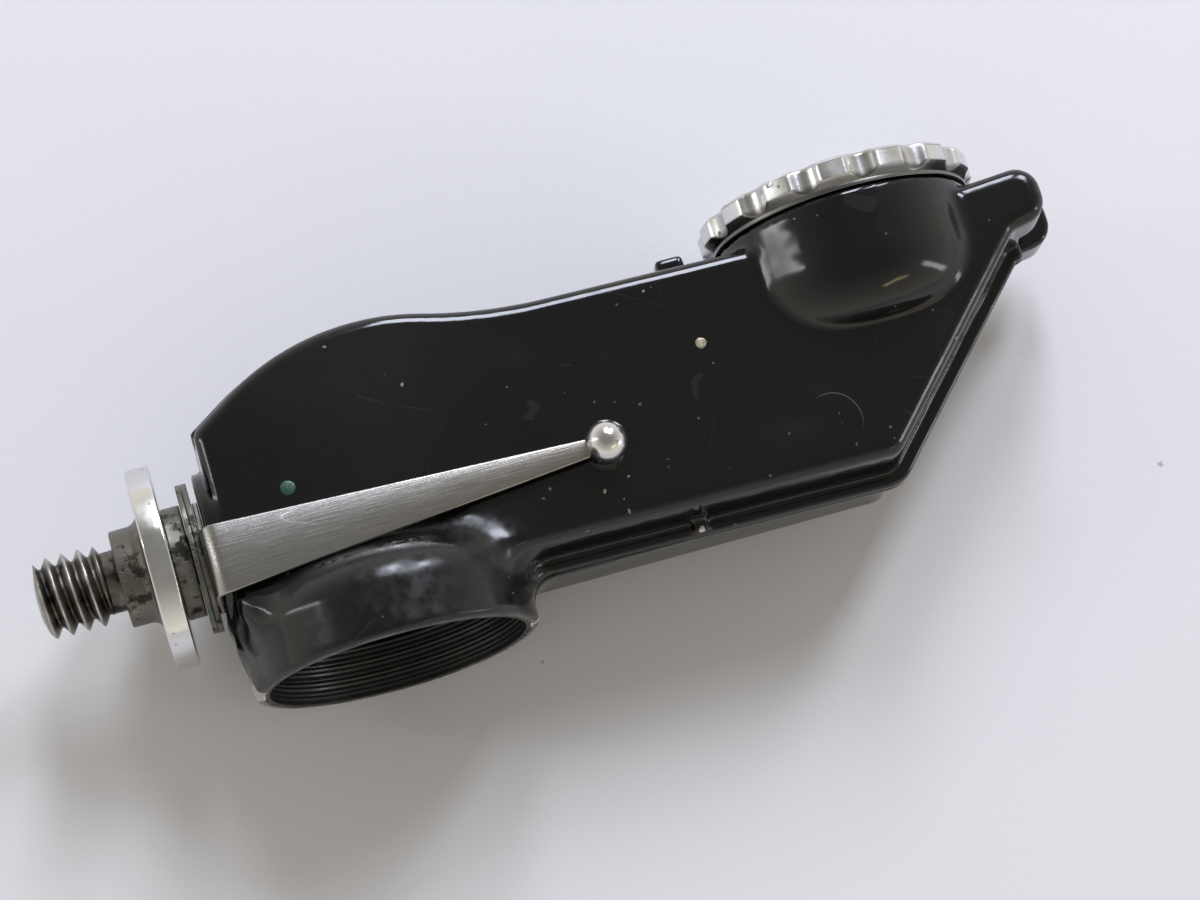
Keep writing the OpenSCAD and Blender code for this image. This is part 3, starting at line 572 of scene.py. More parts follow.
class Nodes:
    """Short way to add and join the nodes of one tree"""

    def __init__(self, tree):
        self.tree = tree

    def put(self, value, socket):
        """Links an output to a socket, or gives the socket a plain value; a colour gets its alpha."""
        if isinstance(value, bpy.types.NodeSocket):
            self.tree.links.new(value, socket)
        elif socket.type == "RGBA":
            socket.default_value = (*value, 1)
        else:
            socket.default_value = value

    def add(self, kind, **settings):
        """New node. A setting with a capital is an input, the others are the node's own."""
        node = self.tree.nodes.new(kind)
        for name, value in settings.items():
            if name[0].isupper():
                self.put(value, node.inputs[name.replace("_", " ")])
            else:
                setattr(node, name, value)
        return node

    def fill(self, kind, operation, *values, **settings):
        """New node of a kind that works on its first inputs, which take these values in turn."""
        node = self.add(kind, operation=operation, **settings)
        for value, socket in zip(values, node.inputs):
            self.put(value, socket)
        return node

    def math(self, operation, *values, clamp=False):
        return self.fill("ShaderNodeMath", operation, *values, use_clamp=clamp).outputs[0]

    def plus(self, a, b, clamp=False):
        return self.math("ADD", a, b, clamp=clamp)

    def minus(self, a, b, clamp=False):
        return self.math("SUBTRACT", a, b, clamp=clamp)

    def times(self, a, b):
        return self.math("MULTIPLY", a, b)

    def vector(self, operation, *values):
        return self.fill("ShaderNodeVectorMath", operation, *values).outputs

    def noise(self, vector, scale, detail, roughness=0.5):
        return self.add("ShaderNodeTexNoise", Vector=vector, Scale=scale, Detail=detail,
                        Roughness=roughness).outputs

    def remap(self, value, low, high, to_low=0.0, to_high=1.0):
        """Straight ramp from one range to another, held at its ends."""
        return self.add("ShaderNodeMapRange", clamp=True, Value=value, From_Min=low, From_Max=high,
                        To_Min=to_low, To_Max=to_high).outputs["Result"]

    def mix(self, factor, a, b):
        """Colour a turning into colour b."""
        node = self.add("ShaderNodeMix", data_type="RGBA", Factor=factor)
        for value, socket in zip((a, b), [s for s in node.inputs if s.type == "RGBA"]):
            self.put(value, socket)
        return [s for s in node.outputs if s.type == "RGBA"][0]


# Patterns that several materials share: each takes its inputs and returns its outputs by name

def specks(n, given):
    """Sparse small spots: cells of a Voronoi pattern where a random value passes the threshold,
    their places shaken by a fine noise."""
    shake = n.noise(given["Vector"], 2500, 2.0)["Color"]
    place = n.vector("MULTIPLY_ADD", shake, (0.0004, 0.0004, 0.0004), given["Vector"])[0]
    cells = n.add("ShaderNodeTexVoronoi", Vector=place, Scale=given["Scale"]).outputs
    random = n.add("ShaderNodeSeparateColor", Color=cells["Color"]).outputs
    chosen = n.math("LESS_THAN", random[0], given["Share"])
    size = n.times(given["Size"], n.plus(random[1], 0.3))
    return {"Mask": n.times(chosen, n.math("LESS_THAN", cells["Distance"], size))}


def hair_scratches(n, given):
    """Hair-fine lines: where a stretched noise crosses its middle value, broken by a second noise."""
    turned = n.add("ShaderNodeVectorRotate", rotation_type="Z_AXIS", Vector=given["Vector"],
                   Angle=given["Turn"]).outputs[0]
    stretched = n.vector("MULTIPLY", turned, (0.22, 1.0, 0.6))[0]
    lines = n.noise(stretched, given["Scale"], 1.0)[0]
    fine = n.math("LESS_THAN", n.math("ABSOLUTE", n.minus(lines, 0.5)), given["Width"])
    breaks = n.noise(given["Vector"], 170, 2.0)[0]
    return {"Mask": n.times(fine, n.math("LESS_THAN", breaks, given["Share"]))}


def ragged_spot(n, given):
    """Patch round a point: one inside the radius and falling to nothing outside, its edge pushed
    in and out by noise."""
    apart = n.vector("DISTANCE", given["Vector"], given["Centre"])["Value"]
    noise = n.noise(given["Vector"], given["Scale"], 3.0)[0]
    push = n.times(n.minus(noise, 0.5), given["Ragged"])
    reach = n.times(given["Radius"], n.plus(1.0, n.times(push, 2.0)))
    past = n.math("DIVIDE", n.minus(reach, apart), given["Soft"])
    return {"Mask": n.plus(past, 0.5, clamp=True)}


def arc_scratch(n, given):
    """Thin circle round a point: one where the distance to the point, swayed by noise, is the
    radius."""
    apart = n.vector("DISTANCE", given["Vector"], given["Centre"])["Value"]
    sway = n.noise(given["Vector"], 200, 1.0)[0]
    swayed = n.plus(apart, n.times(sway, 0.0009))
    off = n.math("ABSOLUTE", n.minus(n.minus(swayed, given["Radius"]), 0.00045))
    return {"Mask": n.math("LESS_THAN", off, given["Width"])}


def pitting(n, given):
    """Corroded metal: pits where the sum of a fine and a broad noise is high."""
    fine = n.noise(given["Vector"], given["Scale"], 4.0, 0.65)[0]
    broad = n.noise(given["Vector"], n.times(given["Scale"], 0.28), 2.0)[0]
    level = n.minus(0.72, n.times(given["Amount"], 0.3))
    both = n.plus(n.times(fine, 0.6), n.times(broad, 0.4))
    pits = n.remap(both, level, n.plus(level, 0.06))
    return {"Height": n.minus(n.times(fine, 0.4), pits), "Mask": pits, "Tone": broad}


def grain(n, given):
    """Brushed or turned grain: noise read through coordinates stretched by a vector."""
    stretched = n.vector("MULTIPLY", given["Vector"], given["Stretch"])[0]
    fine = n.noise(stretched, given["Scale"], 3.0, 0.7)[0]
    broad = n.noise(stretched, n.times(given["Scale"], 0.2), 2.0)[0]
    return {"Height": fine, "Tone": broad}


# What each pattern takes besides its coordinates, and each input's usual value
ORIGIN_POINT = (0.0, 0.0, 0.0)
PATTERNS = {
    specks: {"Scale": 900.0, "Share": 0.1, "Size": 0.2},
    hair_scratches: {"Scale": 60.0, "Width": 0.004, "Share": 0.5, "Turn": 0.3},
    ragged_spot: {"Centre": ORIGIN_POINT, "Radius": 0.001, "Soft": 0.0003, "Ragged": 0.5,
                  "Scale": 1500.0},
    arc_scratch: {"Centre": ORIGIN_POINT, "Radius": 0.002, "Width": 0.00004},
    pitting: {"Scale": 1400.0, "Amount": 0.5},
    grain: {"Stretch": (1.0, 1.0, 1.0), "Scale": 1000.0},
}


def pattern_group(pattern):
    """The shader group that holds a pattern, made when it is first asked for."""
    name = pattern.__name__
    if name in bpy.data.node_groups:
        return bpy.data.node_groups[name]
    group = bpy.data.node_groups.new(name, "ShaderNodeTree")
    n = Nodes(group)
    for socket, value in {"Vector": ORIGIN_POINT, **PATTERNS[pattern]}.items():
        kind = "NodeSocketVector" if isinstance(value, tuple) else "NodeSocketFloat"
        made = group.interface.new_socket(name=socket, in_out="INPUT", socket_type=kind)
        made.default_value = value
    results = pattern(n, n.add("NodeGroupInput").outputs)
    for socket in results:
        group.interface.new_socket(name=socket, in_out="OUTPUT", socket_type="NodeSocketFloat")
    target = n.add("NodeGroupOutput").inputs
    for socket, value in results.items():
        n.put(value, target[socket])
    return group


class Finish:
    """One material: its Principled shader, its Object coordinates and its effects"""

    def __init__(self, name, colour, roughness, metallic=0.0):
        self.material = bpy.data.materials.new(name)
        self.material.use_nodes = True
        self.n = Nodes(self.material.node_tree)
        self.shader = self.material.node_tree.nodes["Principled BSDF"]
        self.where = self.n.add("ShaderNodeTexCoord").outputs["Object"]
        self.colour = tuple(colour)
        self.feed("Base Color", self.colour)
        self.feed("Roughness", roughness)
        self.feed("Metallic", metallic)

    def feed(self, socket, value):
        self.n.put(value, self.shader.inputs[socket])

    def effect(self, pattern, **values):
        """Outputs of a shared pattern, placed in this material with its own values."""
        return self.n.add("ShaderNodeGroup", node_tree=pattern_group(pattern), Vector=self.where,
                          **values).outputs

    def noise(self, scale, detail):
        return self.n.noise(self.where, scale, detail)[0]

    def patches(self, scale, detail, low, high, to_low=0.0, to_high=1.0):
        """Noise whose range from low to high becomes the range from to_low to to_high."""
        return self.n.remap(self.noise(scale, detail), low, high, to_low, to_high)

    def coordinate(self, axis):
        return self.n.add("ShaderNodeSeparateXYZ", Vector=self.where).outputs[axis]

    def ramp(self, axis, start, end, to_low=0.0, to_high=1.0):
        """Ramp along an axis between two places given in part millimetres."""
        places = (ORIGIN[axis] + start * MM, ORIGIN[axis] + end * MM)
        return self.n.remap(self.coordinate(axis), *places, to_low, to_high)

    def from_axis(self, first, second, offset=0.0):
        """Distance from an axis that crosses the plane of two coordinates at offset millimetres
        along the first of them."""
        a = self.n.minus(self.coordinate(first), ORIGIN[first] + offset * MM)
        b = self.n.minus(self.coordinate(second), ORIGIN[second])
        return self.n.math("SQRT", self.n.plus(self.n.times(a, a), self.n.times(b, b)))

    def tint(self, factor, colour, amount=None):
        """Paints a colour over what the base colour is so far."""
        if amount is not None:
            factor = self.n.times(factor, amount)
        self.colour = self.n.mix(factor, self.colour, colour)
        self.feed("Base Color", self.colour)

    def bump(self, height, depth, last=None):
        """Adds relief; depth is in metres for a height of one."""
        node = self.n.add("ShaderNodeBump", Strength=1.0, Distance=depth, Height=height)
        if last is not None:
            self.n.put(last, node.inputs["Normal"])
        self.feed("Normal", node.outputs[0])
        return node.outputs[0]

    def spot(self, centre, radius, soft=0.25, ragged=0.5, scale=1500.0):
        """Mask of a patch round a point, all in part millimetres but the noise's scale."""
        return self.effect(ragged_spot, Centre=placed(centre), Radius=radius * MM, Soft=soft * MM,
                           Ragged=ragged, Scale=scale)["Mask"]


def placed(point):
    """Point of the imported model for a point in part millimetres."""
    return Vector(np.array(point, float) * MM + ORIGIN)


# Finishes: each takes its material's name, the colours, and what its row below gives

def enamel_finish(name, colours):
    """Glossy black stoving enamel over pale cast metal, with dust, hair scratches and chips."""
    f = Finish(name, colours.enamel, 0.16)
    n = f.n
    rough = n.plus(f.patches(55, 4, 0.35, 0.7, 0.09, 0.15), f.patches(190, 5, 0.55, 0.8, 0.0, 0.1))
    dulled = f.spot((BARREL_X + 3, -7, 9), 8, soft=5, ragged=0.5, scale=300)
    rough = n.plus(rough, n.times(dulled, f.patches(900, 4, 0.35, 0.65, 0.06, 0.26)))
    lines = f.effect(hair_scratches, Scale=90.0, Width=0.0016, Share=0.42, Turn=0.5)["Mask"]
    others = f.effect(hair_scratches, Scale=120.0, Width=0.0014, Share=0.4, Turn=2.1)["Mask"]
    curl = f.effect(arc_scratch, Centre=placed((47.8, -4.1, HALF_T)), Radius=0.0024)["Mask"]
    curl = n.times(curl, f.spot((49.3, -2.7, HALF_T), 2.1, soft=1.2, ragged=0.3))
    dust = f.effect(specks, Scale=800.0, Share=0.04, Size=0.1)["Mask"]
    fine = f.effect(specks, Scale=1700.0, Share=0.035, Size=0.16)["Mask"]
    crumbs = f.effect(specks, Scale=1500.0, Share=0.3, Size=0.2)["Mask"]
    around = f.spot((BALL_X - 0.6, CLIP_TIP_Y - 1.2, HALF_T), 4.2, soft=3.5, ragged=0.9, scale=500)
    film = f.spot((14.5, 11.5, HALF_T), 8, soft=7, ragged=0.8, scale=140)
    f.tint(film, (0.3, 0.3, 0.32), 0.018)
    f.tint(n.plus(lines, others, clamp=True), (0.45, 0.44, 0.42), 0.02)
    f.tint(curl, (0.6, 0.58, 0.54), 0.12)
    f.tint(fine, (0.5, 0.48, 0.44), 0.16)
    f.tint(dust, (0.5, 0.48, 0.44), 0.4)
    f.tint(n.times(crumbs, around), (0.45, 0.42, 0.36), 0.55)
    rim = f.ramp(1, RIM_Y + 0.1, RIM_Y)
    f.tint(n.times(rim, f.patches(420, 4, 0.42, 0.66, 0.0, 0.3)), (0.4, 0.39, 0.37))
    chips = [f.spot(centre, radius, soft=0.08, ragged=0.95, scale=900)
             for centre, radius in ENAMEL_CHIPS]
    bare = chips[0]
    for chip in chips[1:]:
        bare = n.math("MAXIMUM", bare, chip)
    f.tint(bare, (0.58, 0.55, 0.5))
    f.feed("Metallic", n.times(bare, 0.6))
    rough = n.plus(rough, n.times(dust, 0.4))
    f.feed("Roughness", n.plus(rough, n.times(bare, 0.25)))
    peel = f.bump(f.noise(260, 2), 0.00006)
    f.bump(bare, -0.00008, peel)
    return f.material


def steel_finish(name, colours):
    """Brushed spring steel: grain along X, a brown bloom towards the ball, pale scratches."""
    f = Finish(name, colours.steel, 0.3, 1.0)
    along = f.effect(grain, Stretch=(0.03, 1.0, 1.0), Scale=9000.0)
    across = f.effect(grain, Stretch=(1.0, 0.06, 1.0), Scale=3000.0)
    f.tint(f.n.remap(along["Tone"], 0.3, 0.75, 0.0, 0.14), (0.32, 0.31, 0.295))
    f.tint(f.ramp(0, 8, 30, 0.0, 0.55), (0.38, 0.34, 0.28))
    f.tint(f.patches(420, 4, 0.58, 0.78, 0.0, 0.35), (0.22, 0.2, 0.17))
    lines = f.effect(hair_scratches, Scale=260.0, Width=0.004, Share=0.48, Turn=0.1)["Mask"]
    f.tint(lines, (0.8, 0.8, 0.79), 0.5)
    f.feed("Roughness", f.n.remap(along["Height"], 0.3, 0.7, 0.2, 0.33))
    first = f.bump(along["Height"], 0.000008)
    f.bump(across["Height"], 0.000004, first)
    return f.material


def plate_finish(name, colours, stretch, tarnish, shine, fluted=False):
    """Worn bright plate with turning marks, dull patches and dark specks. On the fluted ring the
    flutes and the lower bevels get painted shade, by their distance from the ring's axis and
    their height."""
    f = Finish(name, colours.plate, shine, 1.0)
    marks = f.effect(grain, Stretch=stretch, Scale=2600.0)
    dots = f.effect(specks, Scale=1300.0, Share=0.12, Size=0.22)["Mask"]
    f.tint(f.patches(260, 4, 0.5, 0.78, 0.0, tarnish), (0.3, 0.29, 0.27))
    f.tint(dots, (0.12, 0.115, 0.1), 0.6)
    if fluted:
        # Painted shade in the flutes: darker where the surface lies closer to the ring's axis.
        far = f.from_axis(0, 2, EYE_X)
        f.tint(f.n.remap(far, 0.0111, 0.0107, 0.0, 0.3), (0.2, 0.195, 0.18))
        # Painted shade at the lower bevel, where the ring meets the boss: nearly black towards the seat.
        f.tint(f.ramp(1, SEAT_Y + 1.15, SEAT_Y + 0.75, 0.0, 0.75), (0.06, 0.058, 0.052))
    rough = f.patches(330, 5, 0.35, 0.75, shine - 0.08, shine + 0.14)
    f.feed("Roughness", f.n.plus(rough, f.n.times(dots, 0.3)))
    f.bump(marks["Height"], 0.000006)
    return f.material


def zinc_finish(name, colours, green, dark):
    """Corroded zinc: pits, dark dirt in them, pale bloom and verdigris round the stud."""
    f = Finish(name, colours.zinc, 0.5, 0.75)
    pits = f.effect(pitting, Scale=900.0, Amount=0.55)
    f.tint(f.n.remap(pits["Tone"], 0.35, 0.7, 0.0, 0.6), (0.15, 0.14, 0.115))
    f.tint(f.patches(600, 4, 0.6, 0.72, 0.0, 0.45), (0.5, 0.49, 0.45))
    f.tint(pits["Mask"], (0.035, 0.034, 0.03), dark)
    patch = f.patches(280, 4, 0.59, 0.68, 0.0, green)
    f.tint(patch, colours.verdigris)
    f.feed("Metallic", f.n.minus(0.8, f.n.times(patch, 0.7), clamp=True))
    f.feed("Roughness", f.n.remap(pits["Mask"], 0, 1, 0.42, 0.75))
    f.bump(pits["Height"], 0.00007)
    return f.material


def dark_steel_finish(name, colours):
    """Aged steel of the thread: oily black roots and worn bright crests, by distance from the
    axis, and a worn end."""
    f = Finish(name, colours.dark_steel, 0.34, 1.0)
    n = f.n
    far = f.from_axis(1, 2)
    root = n.remap(far, 0.00285, 0.0025)
    f.tint(n.times(root, f.patches(700, 4, 0.4, 0.62, 0.15, 1.0)), (0.02, 0.019, 0.017))
    worn = n.math("MAXIMUM", n.remap(far, 0.0029, 0.00312), f.ramp(0, TIP_X + 0.6, TIP_X))
    f.tint(n.times(worn, f.patches(900, 3, 0.3, 0.6, 0.3, 1.0)), (0.58, 0.56, 0.52))
    f.feed("Roughness", f.patches(800, 4, 0.35, 0.7, 0.24, 0.5))
    f.bump(f.noise(2200, 4), 0.00003)
    return f.material


def screw_finish(name, colours, crust, face):
    """End of a brass screw, crusted with corrosion."""
    f = Finish(name, face, 0.45, 0.5)
    f.tint(f.patches(1500, 4, 0.4, 0.6), crust)
    f.feed("Metallic", f.patches(1500, 4, 0.4, 0.6, 0.7, 0.0))
    f.feed("Roughness", f.patches(1900, 3, 0.4, 0.7, 0.35, 0.7))
    f.bump(f.noise(2600, 4), 0.00008)
    return f.material


def blackened_finish(name, colours, roughness):
    """Matt black oxide inside the bore and on the cells, with fine turning marks."""
    f = Finish(name, (0.014, 0.014, 0.014), roughness)
    f.tint(f.patches(900, 4, 0.6, 0.8, 0.0, 0.3), (0.1, 0.095, 0.085))
    f.feed("Roughness", f.patches(500, 3, 0.3, 0.7, roughness - 0.08, roughness + 0.15))
    marks = f.effect(grain, Stretch=(0.15, 1.0, 0.15), Scale=2500.0)
    f.bump(marks["Height"], 0.00001)
    return f.material


def brass_finish(name, colours):
    """Plain brass with a light tarnish."""
    f = Finish(name, (0.55, 0.42, 0.2), 0.3, 1.0)
    f.tint(f.patches(400, 4, 0.45, 0.75, 0.0, 0.5), (0.2, 0.14, 0.07))
    f.feed("Roughness", f.patches(600, 3, 0.3, 0.7, 0.2, 0.42))
    f.bump(f.noise(2400, 3), 0.000012)
    return f.material


def glass_finish(name, colours):
    """Coated optical glass."""
    f = Finish(name, (0.93, 0.96, 0.98), 0.02)
    f.feed("Transmission Weight", 1.0)
    f.feed("IOR", 1.52)
    f.feed("Roughness", f.patches(120, 3, 0.4, 0.8, 0.01, 0.05))
    return f.material


def mirror_finish(name, colours):
    """Silvered glass with a few spots."""
    f = Finish(name, (0.8, 0.82, 0.83), 0.03, 1.0)
    dots = f.effect(specks, Scale=700.0, Share=0.06, Size=0.2)["Mask"]
    f.tint(dots, (0.2, 0.19, 0.16), 0.8)
    f.feed("Roughness", f.patches(300, 3, 0.3, 0.8, 0.02, 0.08))
    return f.material


FINISHES = {
    "black_enamel": (enamel_finish,),
    "spring_steel": (steel_finish,),
    "ring_plate": (plate_finish, (0.2, 1.0, 0.2), 0.2, 0.26, True),
    "disc_plate": (plate_finish, (1.0, 0.2, 0.2), 0.25, 0.2),
    "pitted_zinc": (zinc_finish, 0.0, 0.85),
    "green_zinc": (zinc_finish, 0.75, 0.9),
    "dark_steel": (dark_steel_finish,),
    "green_screw": (screw_finish, (0.012, 0.062, 0.042), (0.06, 0.12, 0.085)),
    "pale_screw": (screw_finish, (0.2, 0.17, 0.1), (0.42, 0.39, 0.29)),
    "bore_black": (blackened_finish, 0.32),
    "cell_black": (blackened_finish, 0.42),
    "brass": (brass_finish,),
    "optical_glass": (glass_finish,),
    "silvered_glass": (mirror_finish,),
}
_materials = {}


def material(name):
    """The finish of that name, made when it is first asked for."""
    if name not in _materials:
        finish, *values = FINISHES[name]
        _materials[name] = finish(name, bpy.context.scene.finish_colours, *values)
    return _materials[name]


# Operators, one for each piece or group of like pieces

class RANGEFINDER_OT_castings(bpy.types.Operator):
    """Adds the two enamelled half castings of the housing"""

    bl_idname = "rangefinder.castings"
    bl_label = "Castings"

    def execute(self, context):
        sizes = context.scene.casting_sizes
        low = (-1.25, -13.0, -0.55)
        high = (72.2, 17.2, 12.1)
        for name, node, front in (("front_casting", "front_shell", True),
                                  ("rear_casting", "rear_shell", False)):
            points, quads = net_surface(Casting(front, sizes), low, high, sizes.step)
            if not front:
                points = points * np.array([1, 1, -1])
                quads = quads[:, ::-1]
            obj = make_mesh(name, points, quads)
            finish_piece(obj, "housing", "black_enamel", node)
        return {"FINISHED"}


class RANGEFINDER_OT_bore(bpy.types.Operator):
    """Adds the finely ridged black lining of the open objective bore"""

    bl_idname = "rangefinder.bore"
    bl_label = "Ridged bore"

    def execute(self, context):
        pitch = context.scene.casting_sizes.ridge_pitch
        depth = CELL_Y - RIM_Y
        y = np.linspace(0.05, depth - 0.03, 140)
        ridge = np.abs((y / pitch) % 1 - 0.5) * 2
        height = np.clip((y - 0.35) / 0.5, 0, 1) * (0.065 + 0.025 * np.sin(y * 5.1))
        inner = np.stack([BORE_R + 0.02 - height * (1 - ridge ** 1.5), RIM_Y + y], axis=1)
        back_r = BORE_R + 0.35
        outer = np.array([[back_r, RIM_Y + depth - 0.03], [back_r, RIM_Y + 0.05]])
        profile = np.concatenate([inner, outer])[::-1]
        obj = lathe("bore_lining", profile, "Y", (BARREL_X, 0, 0), turns=128)
        finish_piece(obj, "housing", "bore_black")
        return {"FINISHED"}


class RANGEFINDER_OT_focus_ring(bpy.types.Operator):
    """Adds the scalloped focusing ring with its broken edges and setting notch"""

    bl_idname = "rangefinder.focus_ring"
    bl_label = "Focusing ring"

    def execute(self, context):
        sizes = context.scene.metal_sizes
        ring_y = SEAT_Y + 0.06
        top = ring_y + RING_T
        neck = SEAT_Y - 2.4
        around = RING_R - FLUTE_DEPTH + sizes.flute_r
        spacing = 2 * np.pi / sizes.flutes
        notch_angle = np.radians(240)

        def cut(radius, along, angle):
            """Lower of the land's radius and the flute's, r = c cos d - root(f squared - (c sin d)
            squared), softened where they meet; the notch lowers one land's top edge."""
            off = (angle + spacing / 2) % spacing - spacing / 2
            off = np.abs(off) - spacing / 2
            reach = np.maximum(sizes.flute_r ** 2 - (around * np.sin(off)) ** 2, 0)
            flute = np.where(reach > 0, around * np.cos(off) - np.sqrt(reach), 13.0)
            over = along - ring_y
            flute = flute - np.clip((over - 2.3) / 0.2, 0, 1) * 0.14
            rim = (radius > 9.5) & (over > 0.36)
            shaped = np.where(rim, soft_union(radius, flute, 0.16), radius)
            swing = (angle - notch_angle + np.pi) % (2 * np.pi) - np.pi
            notch = (np.abs(swing) * RING_R < 0.7) & (over > 2.0) & (radius > RING_BEVEL_R)
            return np.where(notch, np.minimum(shaped, RING_BEVEL_R), shaped)

        lower = rounded_profile([
            (6.58, neck, 0.1), (7.6, neck, 0.05), (7.6, neck + 0.65, 0.05),
            (8.0, neck + 0.65, 0.05), (8.0, ring_y, 0.05), (RING_BEVEL_R, ring_y, 0.08),
            (RING_BEVEL_R, ring_y + 0.35, 0.05)], 4)
        rise = np.linspace(0, 1, 8)[1:, None]
        bevel_start = np.array([[RING_BEVEL_R, ring_y + 0.35]])
        bevel_end = np.array([[RING_R, ring_y + 0.9]])
        slope = bevel_start * (1 - rise) + bevel_end * rise
        wall = np.stack([np.full(8, RING_R), np.linspace(ring_y + 1.05, top - 0.34, 8)], axis=1)
        bevel = rounded_profile([(RING_R, top - 0.3, 0.08), (10.9, top, 0.1),
                                 (10.3, top, 0.02)], 4)[:-1]
        inside = rounded_profile([(10.2, top, 0.01), (7.08, top, 0.1), (6.58, top - 0.5, 0.1)], 4)
        profile = np.concatenate([lower, slope, wall, bevel, inside])
        obj = lathe("scalloped_ring", profile, "Y", (EYE_X, 0, 0), turns=24 * sizes.flutes,
                    relief=cut, sharp=40)
        finish_piece(obj, "focus_ring", "ring_plate", "focus_ring")
        return {"FINISHED"}


class RANGEFINDER_OT_stud(bpy.types.Operator):
    """Adds the stud with its right-handed helical thread, worn end and plain neck"""

    bl_idname = "rangefinder.stud"
    bl_label = "Threaded stud"

    def execute(self, context):
        pitch = context.scene.metal_sizes.thread_pitch
        root_r = THREAD_R - 0.6 * pitch
        body = np.linspace(TIP_X + 0.35, NECK_X, 130)
        start = np.array([[AXIS_R, TIP_X], [0.6, TIP_X], [1.2, TIP_X + 0.03],
                          [1.7, TIP_X + 0.1], [2.05, TIP_X + 0.2]])
        thread = np.stack([np.full(len(body), THREAD_R), body], axis=1)
        rest = [(2.43, NECK_X + 0.04), (2.43, HUB_X - 0.02), (2.0, HUB_X),
                (2.0, STUD_INNER_X - 0.2), (1.8, STUD_INNER_X), (AXIS_R, STUD_INNER_X)]
        profile = np.concatenate([start, thread, rest])

        def cut(radius, along, angle):
            """Radius of the thread at its phase, along / pitch - angle / full turn: a trapezoid
            that rises from the root to the crest and back, held under the rounded end's curve."""
            phase = (along / pitch - angle / (2 * np.pi)) % 1
            flank = np.clip((0.5 - np.abs(phase - 0.5)) * 2.6 - 0.2, 0, 1)
            runout = np.clip((NECK_X - along) / 0.5, 0, 1)
            thread_r = root_r + (THREAD_R - root_r) * flank * runout
            end_curve = 2.3 + 1.1 * np.sqrt(np.clip((along - TIP_X) / 1.3, 0, 1))
            inside = (along > TIP_X + 0.3) & (along <= NECK_X)
            return np.where(inside, np.minimum(thread_r, end_curve), radius)

        obj = lathe("threaded_stud", profile, "X", turns=120, closed=False, relief=cut, sharp=50)
        finish_piece(obj, "stud", "dark_steel", "mounting_stud")
        return {"FINISHED"}


def worn(depth, seed, waves):
    """Edge wear for a lathe: the radius less a sum of sines round the axis, squared to leave
    nicks."""
    def relief(radius, along, angle):
        swell = sum(np.sin(angle * w + seed * w + along * 2.1) for w in waves) / len(waves)
        outer = radius > 0.75 * radius.max()
        return radius - outer * depth * np.maximum(swell, 0) ** 2
    return relief


class RANGEFINDER_OT_stud_rings(bpy.types.Operator):
    """Adds the hub, thumb disc, collar and clip washers, with worn and corroded edges"""

    bl_idname = "rangefinder.stud_rings"
    bl_label = "Hub, disc, collar and washers"

    def execute(self, context):
        inner = STUD_HOLE_R - 0.03
        hub_r = 3.85
        flare = np.linspace(0, np.pi / 2, 9)
        flared = np.stack([hub_r + 0.9 * (1 - np.cos(flare)),
                           DISC_X - 0.93 + 0.9 * np.sin(flare)], axis=1)
        hub = np.concatenate([
            [[inner, HUB_X], [3.72, HUB_X], [3.82, HUB_X + 0.05], [hub_r, HUB_X + 0.15]], flared,
            [[3.3, DISC_X - 0.03], [3.3, DISC_X + 1.87], [inner, DISC_X + 1.87]]])
        disc = ring_profile(3.33, 8.05, DISC_X, DISC_X + DISC_T, 0.22, 5)
        collar = ring_profile(inner, 4.45, COLLAR_X + 0.03, COLLAR_X + 1.5, 0.12)
        washers = [ring_profile(STUD_HOLE_R, 5.95, low, low + 0.43, 0.09)
                   for low in (WASHER_X + 0.01, WASHER_X + 0.45 + 0.01)]
        pieces = (
            ("flared_hub", hub, worn(0.05, 1.0, (5, 9, 14)),
             "stud", "pitted_zinc", "pitted_zinc", "stud_hub"),
            ("smooth_disc", disc, worn(0.035, 2.0, (7, 12, 19)),
             "stud", "disc_plate", "polished_steel", "thumb_disc"),
            ("green_collar", collar, worn(0.06, 3.0, (6, 11, 17)),
             "stud", "green_zinc", "pitted_zinc", "stud_collar"),
            ("outer_washer", washers[0], worn(0.12, 5.0, (4, 9, 15)),
             "housing", "green_zinc", "pitted_zinc", "clip_washer_outer"),
            ("inner_washer", washers[1], worn(0.12, 6.0, (4, 9, 15)),
             "housing", "pitted_zinc", "pitted_zinc", "clip_washer_inner"),
        )
        for name, profile, relief, body, finish, slot, node in pieces:
            obj = lathe(name, profile, "X", turns=160, relief=relief, sharp=45)
            finish_piece(obj, body, finish, node)
        return {"FINISHED"}


